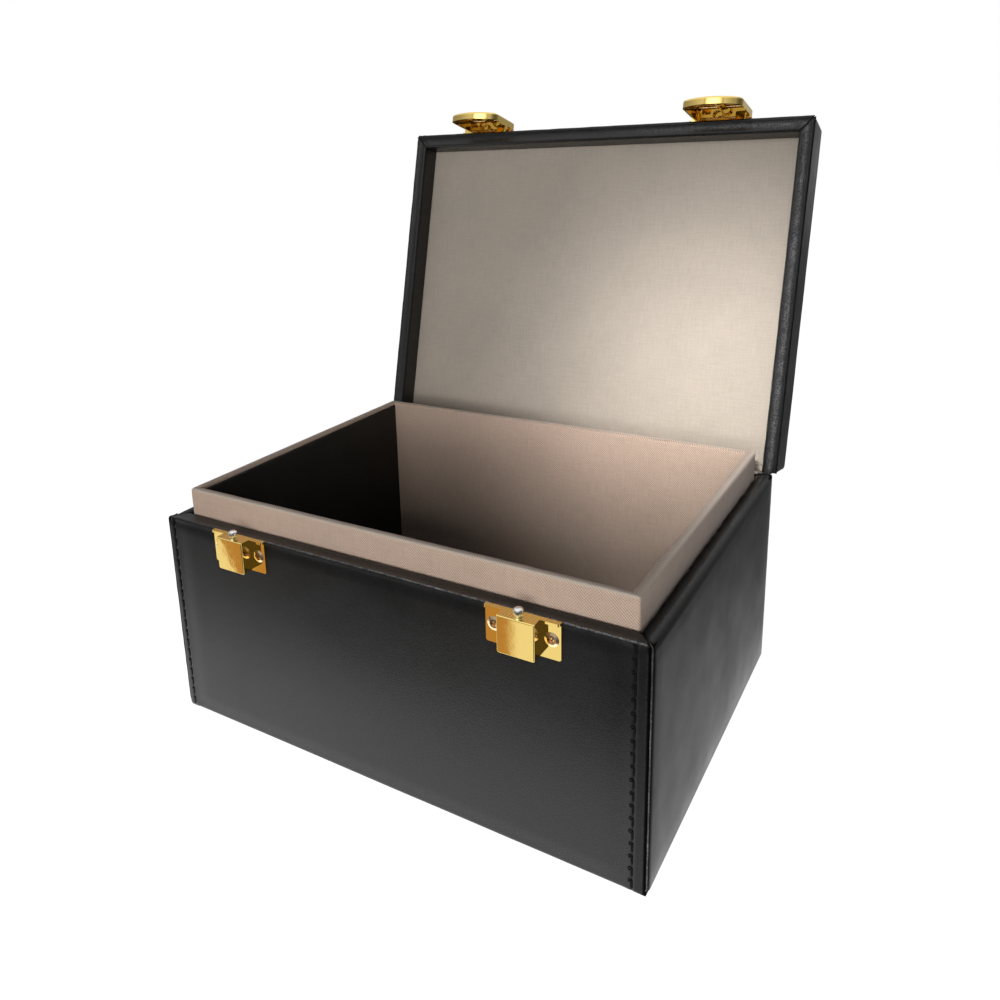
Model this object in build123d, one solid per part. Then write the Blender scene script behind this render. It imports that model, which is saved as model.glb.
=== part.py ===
from build123d import *
import os
from math import sqrt, cos, sin, radians

os.makedirs("parts", exist_ok=True)

# ---------------------------------------------------------------- driving dimensions (mm)
# Frame: X to the right, Y to the back, Z up, origin at the centre of the underside.
BOX_W = 220.0            # outside width of the leather-covered box
BOX_D = 168.5            # outside depth
LEDGE_Z = 95.0           # height of the leather ledge that the lid's rim rests on
SKIN = 0.8               # leatherette thickness
LEDGE_F = 7.6            # ledge width, front
LEDGE_S = 7.1            # ledge width, left and right
LEDGE_R = 5.15           # ledge width, rear
LINER_TOP = 106.4        # top of the fabric-wrapped inner liner
WALL = 3.8               # liner wall, fabric to lining
CLOTH = 0.6              # shielding cloth thickness
FLOOR_T = 4.0            # bottom board
EDGE_F = 1.2             # outer top edge radius of the leather, front: a tight fold
EDGE_S = 3.4             # left and right: soft and round
EDGE_B = 2.0             # rear
NOSE_R = 1.8             # inner top edge radius, where the leather turns down beside the liner
TURN_IN = 14.0           # leather turned down inside, behind the liner
TURN_UNDER = 4.0         # leather turned under the bottom board; the underside cover fills the rest

LID_W = 220.6            # lid outside width
LID_Y0 = -84.55          # lid front face (closed)
LID_Y1 = 83.0            # lid rear face (closed)
RIM_Z = 95.4             # lid rim plane (closed)
LID_T = 22.5             # lid height, rim plane to top face
RECESS = 11.3            # lid recess depth
RIM_F = 6.5              # rim width, front
RIM_S = 5.9              # rim width, left and right
FOAM = 3.2               # padding under the lid's top skin
LID_BOARD = 4.0

OPEN = 104.2             # opening angle held by the inner cloth hinge, degrees
HY, HZ = BOX_D / 2 + 0.4, 92.5   # lid hinge line (fold of the outer strip)
STRIP = 0.8              # outer hinge strip thickness

LATCH_X = 65.7           # latch centres, each side of their middle
LATCH_MID = -0.5         # the pair sits a little left of the box's middle
SHEET = 0.9              # latch sheet metal
PIN_V, PIN_W = 3.2, 8.0  # catch hinge pin: out from the lid face, up from the rim plane
PIN_R = 0.70
PIN_HOLE_R = 0.76

hw, hd = BOX_W / 2, BOX_D / 2
yF, yR = -hd, hd
liF, liR, liS = yF + LEDGE_F, yR - LEDGE_R, hw - LEDGE_S     # liner outer faces
inF, inR, inS = liF + WALL, liR - WALL, liS - WALL           # liner inner faces
lw = LID_W / 2
rcF, rcR, rcS = LID_Y0 + RIM_F, 79.7, lw - RIM_S             # recess walls (closed)
REC_Z = RIM_Z + RECESS
LID_Z1 = RIM_Z + LID_T
BOARD_Z0 = LID_Z1 - SKIN - FOAM - LID_BOARD
BOARD_Z1 = LID_Z1 - SKIN - FOAM


def blk(x0, x1, y0, y1, z0, z1):
    return Pos((x0 + x1) / 2, (y0 + y1) / 2, (z0 + z1) / 2) * Box(abs(x1 - x0), abs(y1 - y0), abs(z1 - z0))


def near(shape, x=None, y=None, z=None, tol=0.02):
    """Edges whose middle lies at the given coordinates."""
    out = []
    for e in shape.edges():
        c = e.center(CenterOf.BOUNDING_BOX)
        if x is not None and abs(c.X - x) > tol: continue
        if y is not None and abs(c.Y - y) > tol: continue
        if z is not None and abs(c.Z - z) > tol: continue
        out.append(e)
    return out


def rounded(x0, x1, y0, y1, z0, z1, r, *at):
    """Box with the edges at each (x, y, z) filleted; None matches any value."""
    b = blk(x0, x1, y0, y1, z0, z1)
    es = []
    for p in at:
        es += near(b, *p)
    return fillet(es, r)


def cyl_x(x0, x1, y, z, r):
    return Pos((x0 + x1) / 2, y, z) * Rot(0, 90, 0) * Cylinder(r, abs(x1 - x0))


def cyl_y(y0, y1, x, z, r):
    return Pos(x, (y0 + y1) / 2, z) * Rot(90, 0, 0) * Cylinder(r, abs(y1 - y0))


NODES = {}

# ---------------------------------------------------------------- box: boards and leatherette skins
z0b = SKIN + FLOOR_T


def tray_body(inset):
    """The outer box as one block, each outer top edge with its own radius."""
    def profile(a0, a1, r0, r1):
        top = LEDGE_Z - inset
        f = make_face(Polyline((a0, inset), (a0, top), (a1, top), (a1, inset), close=True))
        f = fillet([v for v in f.vertices() if v.Y > top - 0.1 and v.X < 0], r0)
        return fillet([v for v in f.vertices() if v.Y > top - 0.1 and v.X > a1 - 0.1], r1)
    side = Pos(-hw + inset, 0, 0) * extrude(Plane.YZ * profile(yF + inset, yR - inset, EDGE_F - inset, EDGE_B - inset),
                                            2 * (hw - inset))
    front = Pos(0, yR - inset, 0) * extrude(Plane.XZ * profile(-hw + inset, hw - inset, EDGE_S - inset, EDGE_S - inset),
                                            yR - yF - 2 * inset)
    return side & front


def tray_ring(inset, r):
    """The walls left after the liner's opening is cut, with a round inner top edge."""
    ring = tray_body(inset) - blk(-liS - inset, liS + inset, liF - inset, liR + inset, 0, LEDGE_Z + 5)
    top = LEDGE_Z - inset
    es = [e for e in ring.edges() if abs(e.center().Z - top) < 0.01
          and abs(e.center().X) < liS + inset + 0.01 and liF - inset - 0.01 < e.center().Y < liR + inset + 0.01]
    return fillet(es, r)


def wedge(side):
    """Plan area of one wall. The front and rear skins end 0.8 short of the corner, where the side skins
    turn round it; on the ledge the seams run in to the liner's corners."""
    def seam(sx, y_out, y_in):
        ax, bx = sx * (hw - 0.8), sx * (liS - 0.5)
        return ((ax + 0.3 * (ax - bx), y_out + 0.3 * (y_out - y_in)), (bx + 0.1 * (bx - ax), y_in + 0.1 * (y_in - y_out)))
    (fl, fli), (fr, fri) = seam(-1, yF, liF), seam(1, yF, liF)
    (rl, rli), (rr, rri) = seam(-1, yR, liR), seam(1, yR, liR)
    poly = {"front": (fl, fr, fri, fli), "right": (fr, rr, rri, fri), "rear": (rr, rl, rli, rri),
            "left": (rl, fl, fli, rli)}[side]
    return extrude(Plane.XY * make_face(Polyline(*poly, close=True)), LEDGE_Z + 10)


outer_ring, inner_ring = tray_ring(0, NOSE_R), tray_ring(SKIN, NOSE_R - SKIN)
skin_ring = (outer_ring - inner_ring - blk(-liS - SKIN, liS + SKIN, liF - SKIN, liR + SKIN, -1, LEDGE_Z - TURN_IN)
             - blk(-hw + TURN_UNDER, hw - TURN_UNDER, yF + TURN_UNDER, yR - TURN_UNDER, -1, SKIN))
for side in ("front", "rear", "left", "right"):
    NODES[side + "_skin"] = skin_ring & wedge(side)
boards = inner_ring - blk(-hw, hw, yF, yR, 0, z0b)
NODES["bottom_board"] = blk(-hw + SKIN, hw - SKIN, yF + SKIN, yR - SKIN, SKIN, z0b)
NODES["front_board"] = boards & blk(-hw, hw, yF, liF - SKIN, 0, 200)
NODES["rear_board"] = boards & blk(-hw, hw, liR + SKIN, yR, 0, 200)
NODES["left_board"] = boards & blk(-hw, -liS - SKIN, liF - SKIN, liR + SKIN, 0, 200)
NODES["right_board"] = boards & blk(liS + SKIN, hw, liF - SKIN, liR + SKIN, 0, 200)
NODES["underside_cover"] = blk(-hw + TURN_UNDER, hw - TURN_UNDER, yF + TURN_UNDER, yR - TURN_UNDER, 0, SKIN)

# ---------------------------------------------------------------- liner: boards, cloth, inner linings
bt = WALL - 2 * CLOTH
topB = LINER_TOP - CLOTH
NODES["liner_front_board"] = blk(-liS + CLOTH, liS - CLOTH, liF + CLOTH, liF + CLOTH + bt, z0b, topB)
NODES["liner_rear_board"] = blk(-liS + CLOTH, liS - CLOTH, liR - CLOTH - bt, liR - CLOTH, z0b, topB)
for side, s in (("left", -1), ("right", 1)):
    NODES[f"liner_{side}_board"] = blk(s * (inS + CLOTH), s * (liS - CLOTH), liF + CLOTH + bt, liR - CLOTH - bt,
                                       z0b, topB)
    NODES[f"liner_{side}_cloth"] = (blk(s * (liS - CLOTH), s * liS, liF + CLOTH, liR - CLOTH, z0b, topB)
                                    + rounded(s * inS, s * liS, inF, inR, topB, LINER_TOP, 0.45,
                                              (s * liS, None, LINER_TOP), (s * inS, None, LINER_TOP)))
    NODES[f"{side}_lining_panel"] = blk(s * inS, s * (inS + CLOTH), inF, inR, z0b + 3.0, topB)
NODES["liner_front_cloth"] = (blk(-liS, liS, liF, liF + CLOTH, z0b, topB)
                              + rounded(-liS, liS, liF, inF, topB, LINER_TOP, 0.45,
                                        (None, liF, LINER_TOP), (None, inF, LINER_TOP)))
NODES["liner_rear_cloth"] = (blk(-liS, liS, liR - CLOTH, liR, z0b, topB)
                             + rounded(-liS, liS, inR, liR, topB, LINER_TOP, 0.45,
                                       (None, liR, LINER_TOP), (None, inR, LINER_TOP))
                             + blk(-inS, inS, inR, inR + CLOTH, z0b + 3.0, topB))
NODES["front_lining_panel"] = blk(-inS, inS, inF - CLOTH, inF, z0b + 3.0, topB)
NODES["floor_board"] = blk(-inS - CLOTH, inS + CLOTH, inF - CLOTH, inR + CLOTH, z0b, z0b + 2.4)
NODES["floor_lining"] = blk(-inS - CLOTH, inS + CLOTH, inF - CLOTH, inR + CLOTH, z0b + 2.4, z0b + 3.0)

# ---------------------------------------------------------------- hinge leaves on the box
# Outer strip: glued to the rear skin, ending in a round fold on the hinge line.
NODES["hinge_strip_box_leaf"] = (blk(-101, 101, yR, yR + STRIP, 56, HZ - 0.3)
                                 + cyl_x(-101, 101, HY, HZ, STRIP / 2))
# Inner cloth hinge: lies on the rear ledge behind the liner.
NODES["inner_hinge_box_leaf"] = fillet(near(blk(-103.6, 103.6, liR, yR - EDGE_B, LEDGE_Z, LEDGE_Z + 0.5),
                                            y=yR - EDGE_B, z=LEDGE_Z + 0.5), 0.35)

# ---------------------------------------------------------------- keepers on the box front
KEEP_W = 28.4            # keeper back plate width
KEEP_Z0, KEEP_Z1 = 81.0, 95.2
COVER_Z0 = 81.3
COVER_W = 14.2           # front cover width
COVER_OUT = 6.4          # front cover stands this far off the leather
LIP = 2.2                # turned top lip
SCREW_X, SCREW_Z = 10.8, 88.3
STUD_Y = yF - 3.55


def csk_screw(x, y_face, z, head_r, shank_r, length, proud, recessed=True):
    """Cross-recessed countersunk screw driven along +Y; y_face is the sheet's outer face.
    Without the recess it is the hole that the screw fills."""
    prof = Polyline((0, -proud), (head_r * 0.62, -proud * 0.72), (head_r, 0), (shank_r, head_r - shank_r),
                    (shank_r, length - 1.6), (0, length), (0, -proud))
    body = revolve(Plane.XY * make_face(prof), Axis.Y)
    if recessed:
        recess = Box(0.62, 2.2, head_r * 1.15) + Box(head_r * 1.15, 2.2, 0.62)
        body = body - Pos(0, -proud, 0) * recess
    return Pos(x, y_face, z) * body


def keeper(cx):
    """Back plate with a turned top lip, and a cover with closed sides, open below."""
    h, c = KEEP_W / 2, COVER_W / 2
    plate = blk(-h, h, yF - SHEET, yF, KEEP_Z0, KEEP_Z1)
    plate = fillet([e for e in plate.edges().filter_by(Axis.Y) if e.center().Z < KEEP_Z0 + 1], 0.9)
    lip = blk(-h, h, yF - LIP, yF, KEEP_Z1 - SHEET, KEEP_Z1)
    lip = fillet([e for e in lip.edges().filter_by(Axis.Z) if e.center().Y < yF - 1], 0.7)
    cover = blk(-c, c, yF - COVER_OUT, yF, COVER_Z0, KEEP_Z1)
    low = [e for e in cover.edges().filter_by(Axis.Y) if e.center().Z < COVER_Z0 + 0.1]
    cover = fillet(low, 0.8)
    cover = fillet(cover.faces().sort_by(Axis.Y)[0].edges(), 0.4)
    inside = blk(-c + SHEET, c - SHEET, yF - COVER_OUT + SHEET, yF - SHEET, COVER_Z0 - 1, KEEP_Z1 - SHEET)
    k = plate + lip + (cover - inside)
    k = k - Pos(0, STUD_Y, KEEP_Z1) * Cylinder(1.1, 4)
    k = Pos(cx, 0, 0) * k
    for s in (-1, 1):
        k = k - csk_screw(cx + s * SCREW_X, yF - SHEET, SCREW_Z, 2.7, 1.2, 7.0, 0.6, False)
    return k


def stud(cx):
    t = KEEP_Z1
    prof = Polyline((0, t - SHEET - 0.4), (1.35, t - SHEET - 0.4), (1.35, t - SHEET), (1.1, t - SHEET), (1.1, t),
                    (1.62, t), (1.58, t + 0.5), (1.6, t + 0.9), (1.78, t + 1.3), (1.85, t + 1.8), (1.82, t + 2.35),
                    (1.66, t + 2.8), (1.3, t + 3.08), (0.75, t + 3.2), (0, t + 3.24), (0, t - SHEET - 0.4))
    return Pos(cx, STUD_Y, 0) * revolve(Plane.XZ * make_face(prof), Axis.Z)


keeper_screws, keeper_holes = [], []
for side, s in (("left", -1), ("right", 1)):
    cx = LATCH_MID + s * LATCH_X
    NODES[f"{side}_keeper"] = keeper(cx)
    NODES[f"{side}_keeper_stud"] = stud(cx)
    for t in (-1, 1):
        keeper_screws.append(csk_screw(cx + t * SCREW_X, yF - SHEET, SCREW_Z, 2.7, 1.2, 7.0, 0.6))
        keeper_holes.append(csk_screw(cx + t * SCREW_X, yF - SHEET, SCREW_Z, 2.7, 1.2, 7.0, 0.6, False))
NODES["keeper_screws"] = Compound(children=keeper_screws)
for sc in keeper_holes:
    NODES["front_skin"] = NODES["front_skin"] - sc
    NODES["front_board"] = NODES["front_board"] - sc

# ---------------------------------------------------------------- lid, drawn closed
LID = {}
LID["lid_top_board"] = blk(-lw + SKIN, lw - SKIN, LID_Y0 + SKIN, LID_Y1 - SKIN, BOARD_Z0, BOARD_Z1)
cap = blk(-lw, lw, LID_Y0, LID_Y1, BOARD_Z1, LID_Z1)
cap = fillet([e for e in cap.edges().filter_by(Axis.Z)], 2.4)
cap = fillet(cap.faces().sort_by(Axis.Z)[-1].edges(), 1.5)
core = blk(-lw + SKIN, lw - SKIN, LID_Y0 + SKIN, LID_Y1 - SKIN, BOARD_Z1, LID_Z1 - SKIN)
core = fillet([e for e in core.edges().filter_by(Axis.Z)], 1.6)
core = fillet(core.faces().sort_by(Axis.Z)[-1].edges(), 0.7)
LID["lid_foam"] = core
LID["lid_top_skin"] = cap - core
LID["lid_top_board"] = fillet(LID["lid_top_board"].edges().filter_by(Axis.Z), 1.6)
rim_r = 2.2
LID["lid_front_rail"] = rounded(-lw + SKIN, lw - SKIN, LID_Y0 + SKIN, rcF - SKIN, RIM_Z + SKIN, BOARD_Z0, rim_r - SKIN,
                                (None, LID_Y0 + SKIN, RIM_Z + SKIN))
LID["lid_front_skin"] = (rounded(-lw, lw, LID_Y0, rcF, RIM_Z, BOARD_Z0, rim_r, (None, LID_Y0, RIM_Z))
                         + blk(-lw, lw, LID_Y0, LID_Y0 + SKIN, BOARD_Z0, BOARD_Z1)
                         - rounded(-lw + SKIN, lw - SKIN, LID_Y0 + SKIN, rcF - SKIN, RIM_Z + SKIN, BOARD_Z0 + 9,
                                   rim_r - SKIN, (None, LID_Y0 + SKIN, RIM_Z + SKIN)))
rear_rail_y0 = rcR + 0.5
rear_z = RIM_Z + 0.5       # cloth-covered rear rim sits a little higher than the leather rim
LID["lid_rear_rail"] = blk(-rcS, rcS, rear_rail_y0, LID_Y1 - SKIN, rear_z + 0.5, BOARD_Z0)
LID["lid_rear_skin"] = blk(-lw, lw, LID_Y1 - SKIN, LID_Y1, rear_z, BOARD_Z1)
for side, s in (("left", -1), ("right", 1)):
    rail = rounded(s * (rcS + SKIN), s * (lw - SKIN), rcF, LID_Y1 - SKIN, RIM_Z + SKIN, BOARD_Z0,
                   rim_r - SKIN, (s * (lw - SKIN), None, RIM_Z + SKIN))
    LID[f"lid_{side}_rail"] = rail
    sk = rounded(s * rcS, s * lw, LID_Y0 + SKIN, LID_Y1 - SKIN, RIM_Z, BOARD_Z0, rim_r, (s * lw, None, RIM_Z))
    sk = sk + blk(s * (lw - SKIN), s * lw, LID_Y0 + SKIN, LID_Y1 - SKIN, BOARD_Z0, BOARD_Z1)
    cut = rounded(s * (rcS + SKIN), s * (lw - SKIN), LID_Y0, LID_Y1, RIM_Z + SKIN, BOARD_Z0 + 9, rim_r - SKIN,
                  (s * (lw - SKIN), None, RIM_Z + SKIN))
    sk = sk - cut - blk(-lw - 1, lw + 1, LID_Y0 - 1, rcF, RIM_Z - 1, BOARD_Z1 + 1)
    # the outer wall still runs forward to the front skin
    sk = sk + (blk(s * (lw - SKIN), s * lw, LID_Y0 + SKIN, rcF, RIM_Z + rim_r, BOARD_Z1)
               - LID["lid_front_skin"])
    LID[f"lid_{side}_skin"] = sk
LID["lid_panel_board"] = blk(-rcS, rcS, rcF, rcR, REC_Z + CLOTH, BOARD_Z0)
LID["lid_panel_cloth"] = blk(-rcS, rcS, rcF, rcR, REC_Z, REC_Z + CLOTH)
# Cloth hinge, lid half: down the rear wall of the recess and across the rear rim.
LID["inner_hinge_lid_leaf"] = (blk(-rcS, rcS, rcR, rear_rail_y0, rear_z, BOARD_Z0)
                               + blk(-rcS, rcS, rear_rail_y0, LID_Y1 - SKIN, rear_z, rear_z + 0.5))
# Outer strip, lid half: glued up the rear skin, reaching down to the fold.
pts = [(LID_Y1, 112.0), (LID_Y1 + STRIP, 112.0), (LID_Y1 + STRIP, 98.6), (HY + STRIP / 2, HZ + 1.0),
       (HY - STRIP / 2, HZ + 1.0), (LID_Y1, 98.4)]
face = make_face(Polyline(*[(y, z) for y, z in pts], close=True))
LID["hinge_strip_lid_leaf"] = Pos(-101, 0, 0) * extrude(Plane.YZ * face, 202)

# ---------------------------------------------------------------- catches on the lid front, drawn closed
yL = LID_Y0
PY, PZ = yL - PIN_V, RIM_Z + PIN_W
FLAP_HW = 14.3
FLAP_OUT, FLAP_IN = 7.4, 3.6       # outer face and skirt edge, out from the lid face
FLAP_APEX = RIM_Z - 16.6           # lowest point of the curved finger edge
FLAP_TOP = RIM_Z + 10.6
ARC_R = 24.0


def outline(h, apex, top, arc, rc, rt):
    sag = arc - sqrt(arc * arc - h * h)
    ln = Polyline((-h, apex + sag), (-h, top), (h, top), (h, apex + sag))
    face = make_face([*ln.edges(), ThreePointArc((h, apex + sag), (0, apex), (-h, apex + sag))])
    vs = face.vertices()
    low = [v for v in vs if v.Y < apex + sag + 0.1]
    high = [v for v in vs if v.Y > top - 0.1]
    face = fillet(low, rc)
    high = [v for v in face.vertices() if v.Y > top - 0.1]
    return fillet(high, rt)


def flap(cx):
    pl = Plane((0, yL - FLAP_IN, 0), x_dir=(1, 0, 0), z_dir=(0, -1, 0))
    body = extrude(pl * outline(FLAP_HW, FLAP_APEX, FLAP_TOP, ARC_R, 4.6, 1.2), FLAP_OUT - FLAP_IN)
    body = fillet(body.faces().sort_by(Axis.Y)[0].edges(), 1.15)
    cav = extrude(pl * outline(FLAP_HW - SHEET, FLAP_APEX + SHEET, FLAP_TOP - SHEET, ARC_R - SHEET, 3.7, 0.3),
                  FLAP_OUT - FLAP_IN - SHEET)
    body = body - cav
    for s in (-1, 1):
        x0, x1 = s * (FLAP_HW - SHEET), s * FLAP_HW
        body = body + blk(x0, x1, PY, yL - FLAP_IN - 0.3, PZ - 1.9, PZ + 1.9) + cyl_x(x0, x1, PY, PZ, 1.9)
    body = body - cyl_x(-20, 20, PY, PZ, PIN_HOLE_R)
    return Pos(cx, 0, 0) * body


CLIP_R = 2.15


def catch_base(cx):
    b = blk(-13.8, 13.8, yL - 0.8, yL, RIM_Z + 0.6, RIM_Z + 12.0)
    b = fillet(b.edges().filter_by(Axis.Y), 0.8)
    for s in (-1, 1):
        x0, x1 = s * 12.0, s * 12.8
        # the ear stays inside the sweep of the flap's top wall
        ear = blk(x0, x1, PY, yL - 0.4, PZ - 1.4, PZ + 0.85) + cyl_x(x0, x1, PY, PZ, 1.4)
        tab = blk(s * 8.4, s * 12.8, yL - 4.6, yL - 0.4, RIM_Z + 1.4, RIM_Z + 2.2)
        tab = fillet([e for e in tab.edges().filter_by(Axis.Z) if e.center().Y < yL - 4], 0.6)
        web = blk(x0, x1, yL - 2.4, yL - 0.4, RIM_Z + 2.2, PZ)
        b = b + ear + tab + web
    b = b - cyl_x(-20, 20, PY, PZ, PIN_R)
    b = Pos(cx, 0, 0) * b
    for s in (-1, 1):
        b = b - csk_screw(cx + s * 8.6, yL - 0.8, RIM_Z + 6.6, 2.2, 1.0, 5.2, 0.35, False)
    for s in (-1, 1):
        b = b - cyl_y(yL - 2, yL + 0.1, cx + s * 3.3, RIM_Z + 2.8, 0.55)
    return b


def snap_clip(cx):
    """Omega-shaped spring clip that grips the keeper's stud; its feet lie on the base plate."""
    zc, h = RIM_Z + 2.8, 3.6
    yc = STUD_Y
    ring = Pos(0, yc, zc) * (Cylinder(CLIP_R + 0.4, h) - Cylinder(CLIP_R, h))
    ring = ring - blk(-5, 5, yL - 1.2, yL + 1, zc - 5, zc + 5)
    feet = blk(-4.8, -0.85, yL - 1.2, yL - 0.8, zc - h / 2, zc + h / 2) + \
        blk(0.85, 4.8, yL - 1.2, yL - 0.8, zc - h / 2, zc + h / 2)
    c = ring + feet
    for s in (-1, 1):
        c = c - cyl_y(yL - 3, yL + 0.1, s * 3.3, zc, 0.55)
    return Pos(cx, 0, 0) * c


def rivet(x):
    z = RIM_Z + 2.8
    return (cyl_y(yL - 1.2, yL - 0.1, x, z, 0.55)
            + cyl_y(yL - 1.6, yL - 1.2, x, z, 0.95))


def catch_spring(cx):
    """Torsion spring round the pin: closed coils with one leg on the base and one on the flap."""
    wire, mean = 0.21, 1.14
    sp = None
    for i in range(7):
        t = Pos(-1.2 + 0.4 * i, PY, PZ) * Rot(0, 90, 0) * Torus(mean, wire)
        sp = t if sp is None else sp + t
    leg1 = Pos(-1.2, PY + mean, PZ - 1.9) * Cylinder(wire, 3.8)
    leg2 = Pos(1.2, PY - mean, PZ + 0.75) * Cylinder(wire, 1.5)
    return Pos(cx, 0, 0) * (sp + leg1 + leg2)


catch_screws, catch_holes, rivets = [], [], []
for side, s in (("left", -1), ("right", 1)):
    cx = LATCH_MID + s * LATCH_X
    LID[f"{side}_catch_base"] = catch_base(cx)
    LID[f"{side}_snap_clip"] = snap_clip(cx)
    LID[f"{side}_catch_pin"] = cyl_x(cx - FLAP_HW - 0.25, cx + FLAP_HW + 0.25, PY, PZ, PIN_R)
    LID[f"{side}_catch_spring"] = catch_spring(cx)
    LID[f"{side}_catch_flap"] = flap(cx)
    for t in (-1, 1):
        catch_screws.append(csk_screw(cx + t * 8.6, yL - 0.8, RIM_Z + 6.6, 2.2, 1.0, 5.2, 0.35))
        catch_holes.append(csk_screw(cx + t * 8.6, yL - 0.8, RIM_Z + 6.6, 2.2, 1.0, 5.2, 0.35, False))
        rivets.append(rivet(cx + t * 3.3))
for sc in catch_holes:
    LID["lid_front_skin"] = LID["lid_front_skin"] - sc
    LID["lid_front_rail"] = LID["lid_front_rail"] - sc
LID["catch_screws"] = Compound(children=catch_screws)
LID["clip_rivets"] = Compound(children=rivets)

# ---------------------------------------------------------------- open the lid to its stored pose
HINGE = Axis((0, HY, HZ), (1, 0, 0))
for name, shape in LID.items():
    NODES[name] = shape.rotate(HINGE, -OPEN)


def opened(y, z):
    a = radians(-OPEN)
    dy, dz = y - HY, z - HZ
    return HY + dy * cos(a) - dz * sin(a), HZ + dy * sin(a) + dz * cos(a)


print("catch pin line, stored pose:", [round(v, 4) for v in opened(PY, PZ)])
print("rim front edge, stored pose:", [round(v, 3) for v in opened(LID_Y0, RIM_Z)])
print("rim rear edge, stored pose:", [round(v, 3) for v in opened(LID_Y1, RIM_Z)])

for name, shape in NODES.items():
    export_step(shape, f"parts/{name}.step")
print(len(NODES), "nodes")
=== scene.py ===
import bpy
import math
import numpy as np
from mathutils import Matrix, Vector, noise


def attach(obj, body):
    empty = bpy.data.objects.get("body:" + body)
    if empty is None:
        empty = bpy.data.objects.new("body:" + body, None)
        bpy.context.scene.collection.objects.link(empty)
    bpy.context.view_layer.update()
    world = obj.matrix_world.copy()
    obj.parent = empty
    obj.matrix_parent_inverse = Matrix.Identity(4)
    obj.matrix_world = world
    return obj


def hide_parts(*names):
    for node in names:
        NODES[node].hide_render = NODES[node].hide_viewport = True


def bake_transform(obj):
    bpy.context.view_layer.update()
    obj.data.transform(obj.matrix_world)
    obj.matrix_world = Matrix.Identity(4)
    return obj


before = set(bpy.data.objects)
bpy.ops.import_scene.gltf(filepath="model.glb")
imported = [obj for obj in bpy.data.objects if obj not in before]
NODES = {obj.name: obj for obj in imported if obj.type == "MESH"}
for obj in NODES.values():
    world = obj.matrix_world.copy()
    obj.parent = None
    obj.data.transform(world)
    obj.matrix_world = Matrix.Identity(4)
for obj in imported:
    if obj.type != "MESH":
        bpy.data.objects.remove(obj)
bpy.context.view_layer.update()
MM = 0.001

# ------------------------------------------------------------------ dimensions (mm), the same frame as the CAD
HW, HD = 110.0, 84.25
YF, YR = -HD, HD
LEDGE_Z, LINER_TOP = 95.0, 106.4
LEDGE_F, LEDGE_S, LEDGE_R = 7.6, 7.1, 5.15
LIX, LIF, LIR = HW - LEDGE_S, YF + LEDGE_F, YR - LEDGE_R
WALL = 3.8
INX, INF, INR = LIX - WALL, LIF + WALL, LIR - WALL
LW, LY0, LY1 = 110.3, -84.55, 83.0
RIM_Z, REC_Z, LID_Z1 = 95.4, 106.7, 117.9
RCX, RCF, RCR = LW - 5.9, LY0 + 6.5, 79.7
HY, HZ, OPEN = 84.65, 92.5, math.radians(-104.2)
STITCH_L, STITCH_R = -106.4, 104.5


def opened(p):
    """A point of the closed lid, taken to the stored open pose."""
    x, y, z = p
    c, s = math.cos(OPEN), math.sin(OPEN)
    dy, dz = y - HY, z - HZ
    return (x, HY + dy * c - dz * s, HZ + dy * s + dz * c)


def nz(x, y, z=0.0, seed=0.0):
    return noise.noise(Vector((x + seed * 17.3, y - seed * 9.1, z + seed * 5.7)))


def smooth(a, b, x):
    t = min(1.0, max(0.0, (x - a) / (b - a)))
    return t * t * (3 - 2 * t)


def bell(x, w):
    return math.exp(-(x / w) ** 2)


# ------------------------------------------------------------------ materials
def mat(name):
    m = bpy.data.materials.new(name)
    m.use_nodes = True
    t = m.node_tree
    for n in list(t.nodes):
        t.nodes.remove(n)
    out = t.nodes.new("ShaderNodeOutputMaterial")
    bsdf = t.nodes.new("ShaderNodeBsdfPrincipled")
    t.links.new(bsdf.outputs[0], out.inputs[0])
    return m, t, bsdf


def node(t, kind, **kw):
    n = t.nodes.new(kind)
    for k, v in kw.items():
        if k.startswith("in_"):
            n.inputs[int(k[3:])].default_value = v
        else:
            setattr(n, k, v)
    return n


def coords(t, kind="Object", scale=None, rot=None):
    tc = node(t, "ShaderNodeTexCoord")
    if scale is None and rot is None:
        return tc.outputs[kind]
    mp = node(t, "ShaderNodeMapping")
    if scale is not None:
        mp.inputs["Scale"].default_value = scale
    if rot is not None:
        mp.inputs["Rotation"].default_value = rot
    t.links.new(tc.outputs[kind], mp.inputs["Vector"])
    return mp.outputs[0]


def noise_tex(t, vec, scale, detail=3.0, rough=0.55, dist=0.0):
    n = node(t, "ShaderNodeTexNoise")
    n.inputs["Scale"].default_value = scale
    n.inputs["Detail"].default_value = detail
    n.inputs["Roughness"].default_value = rough
    n.inputs["Distortion"].default_value = dist
    t.links.new(vec, n.inputs["Vector"])
    return n.outputs["Fac"]


def voronoi(t, vec, scale, feature="F1", out="Distance", smoothness=None, rand=1.0):
    n = node(t, "ShaderNodeTexVoronoi", feature=feature)
    n.inputs["Scale"].default_value = scale
    n.inputs["Randomness"].default_value = rand
    if smoothness is not None and "Smoothness" in n.inputs:
        n.inputs["Smoothness"].default_value = smoothness
    t.links.new(vec, n.inputs["Vector"])
    return n.outputs[out]


def math_node(t, op, a, b=None, c=None, clamp=False):
    n = node(t, "ShaderNodeMath", operation=op, use_clamp=clamp)
    for i, v in enumerate((a, b, c)):
        if v is None:
            continue
        if isinstance(v, (int, float)):
            n.inputs[i].default_value = v
        else:
            t.links.new(v, n.inputs[i])
    return n.outputs[0]


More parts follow.
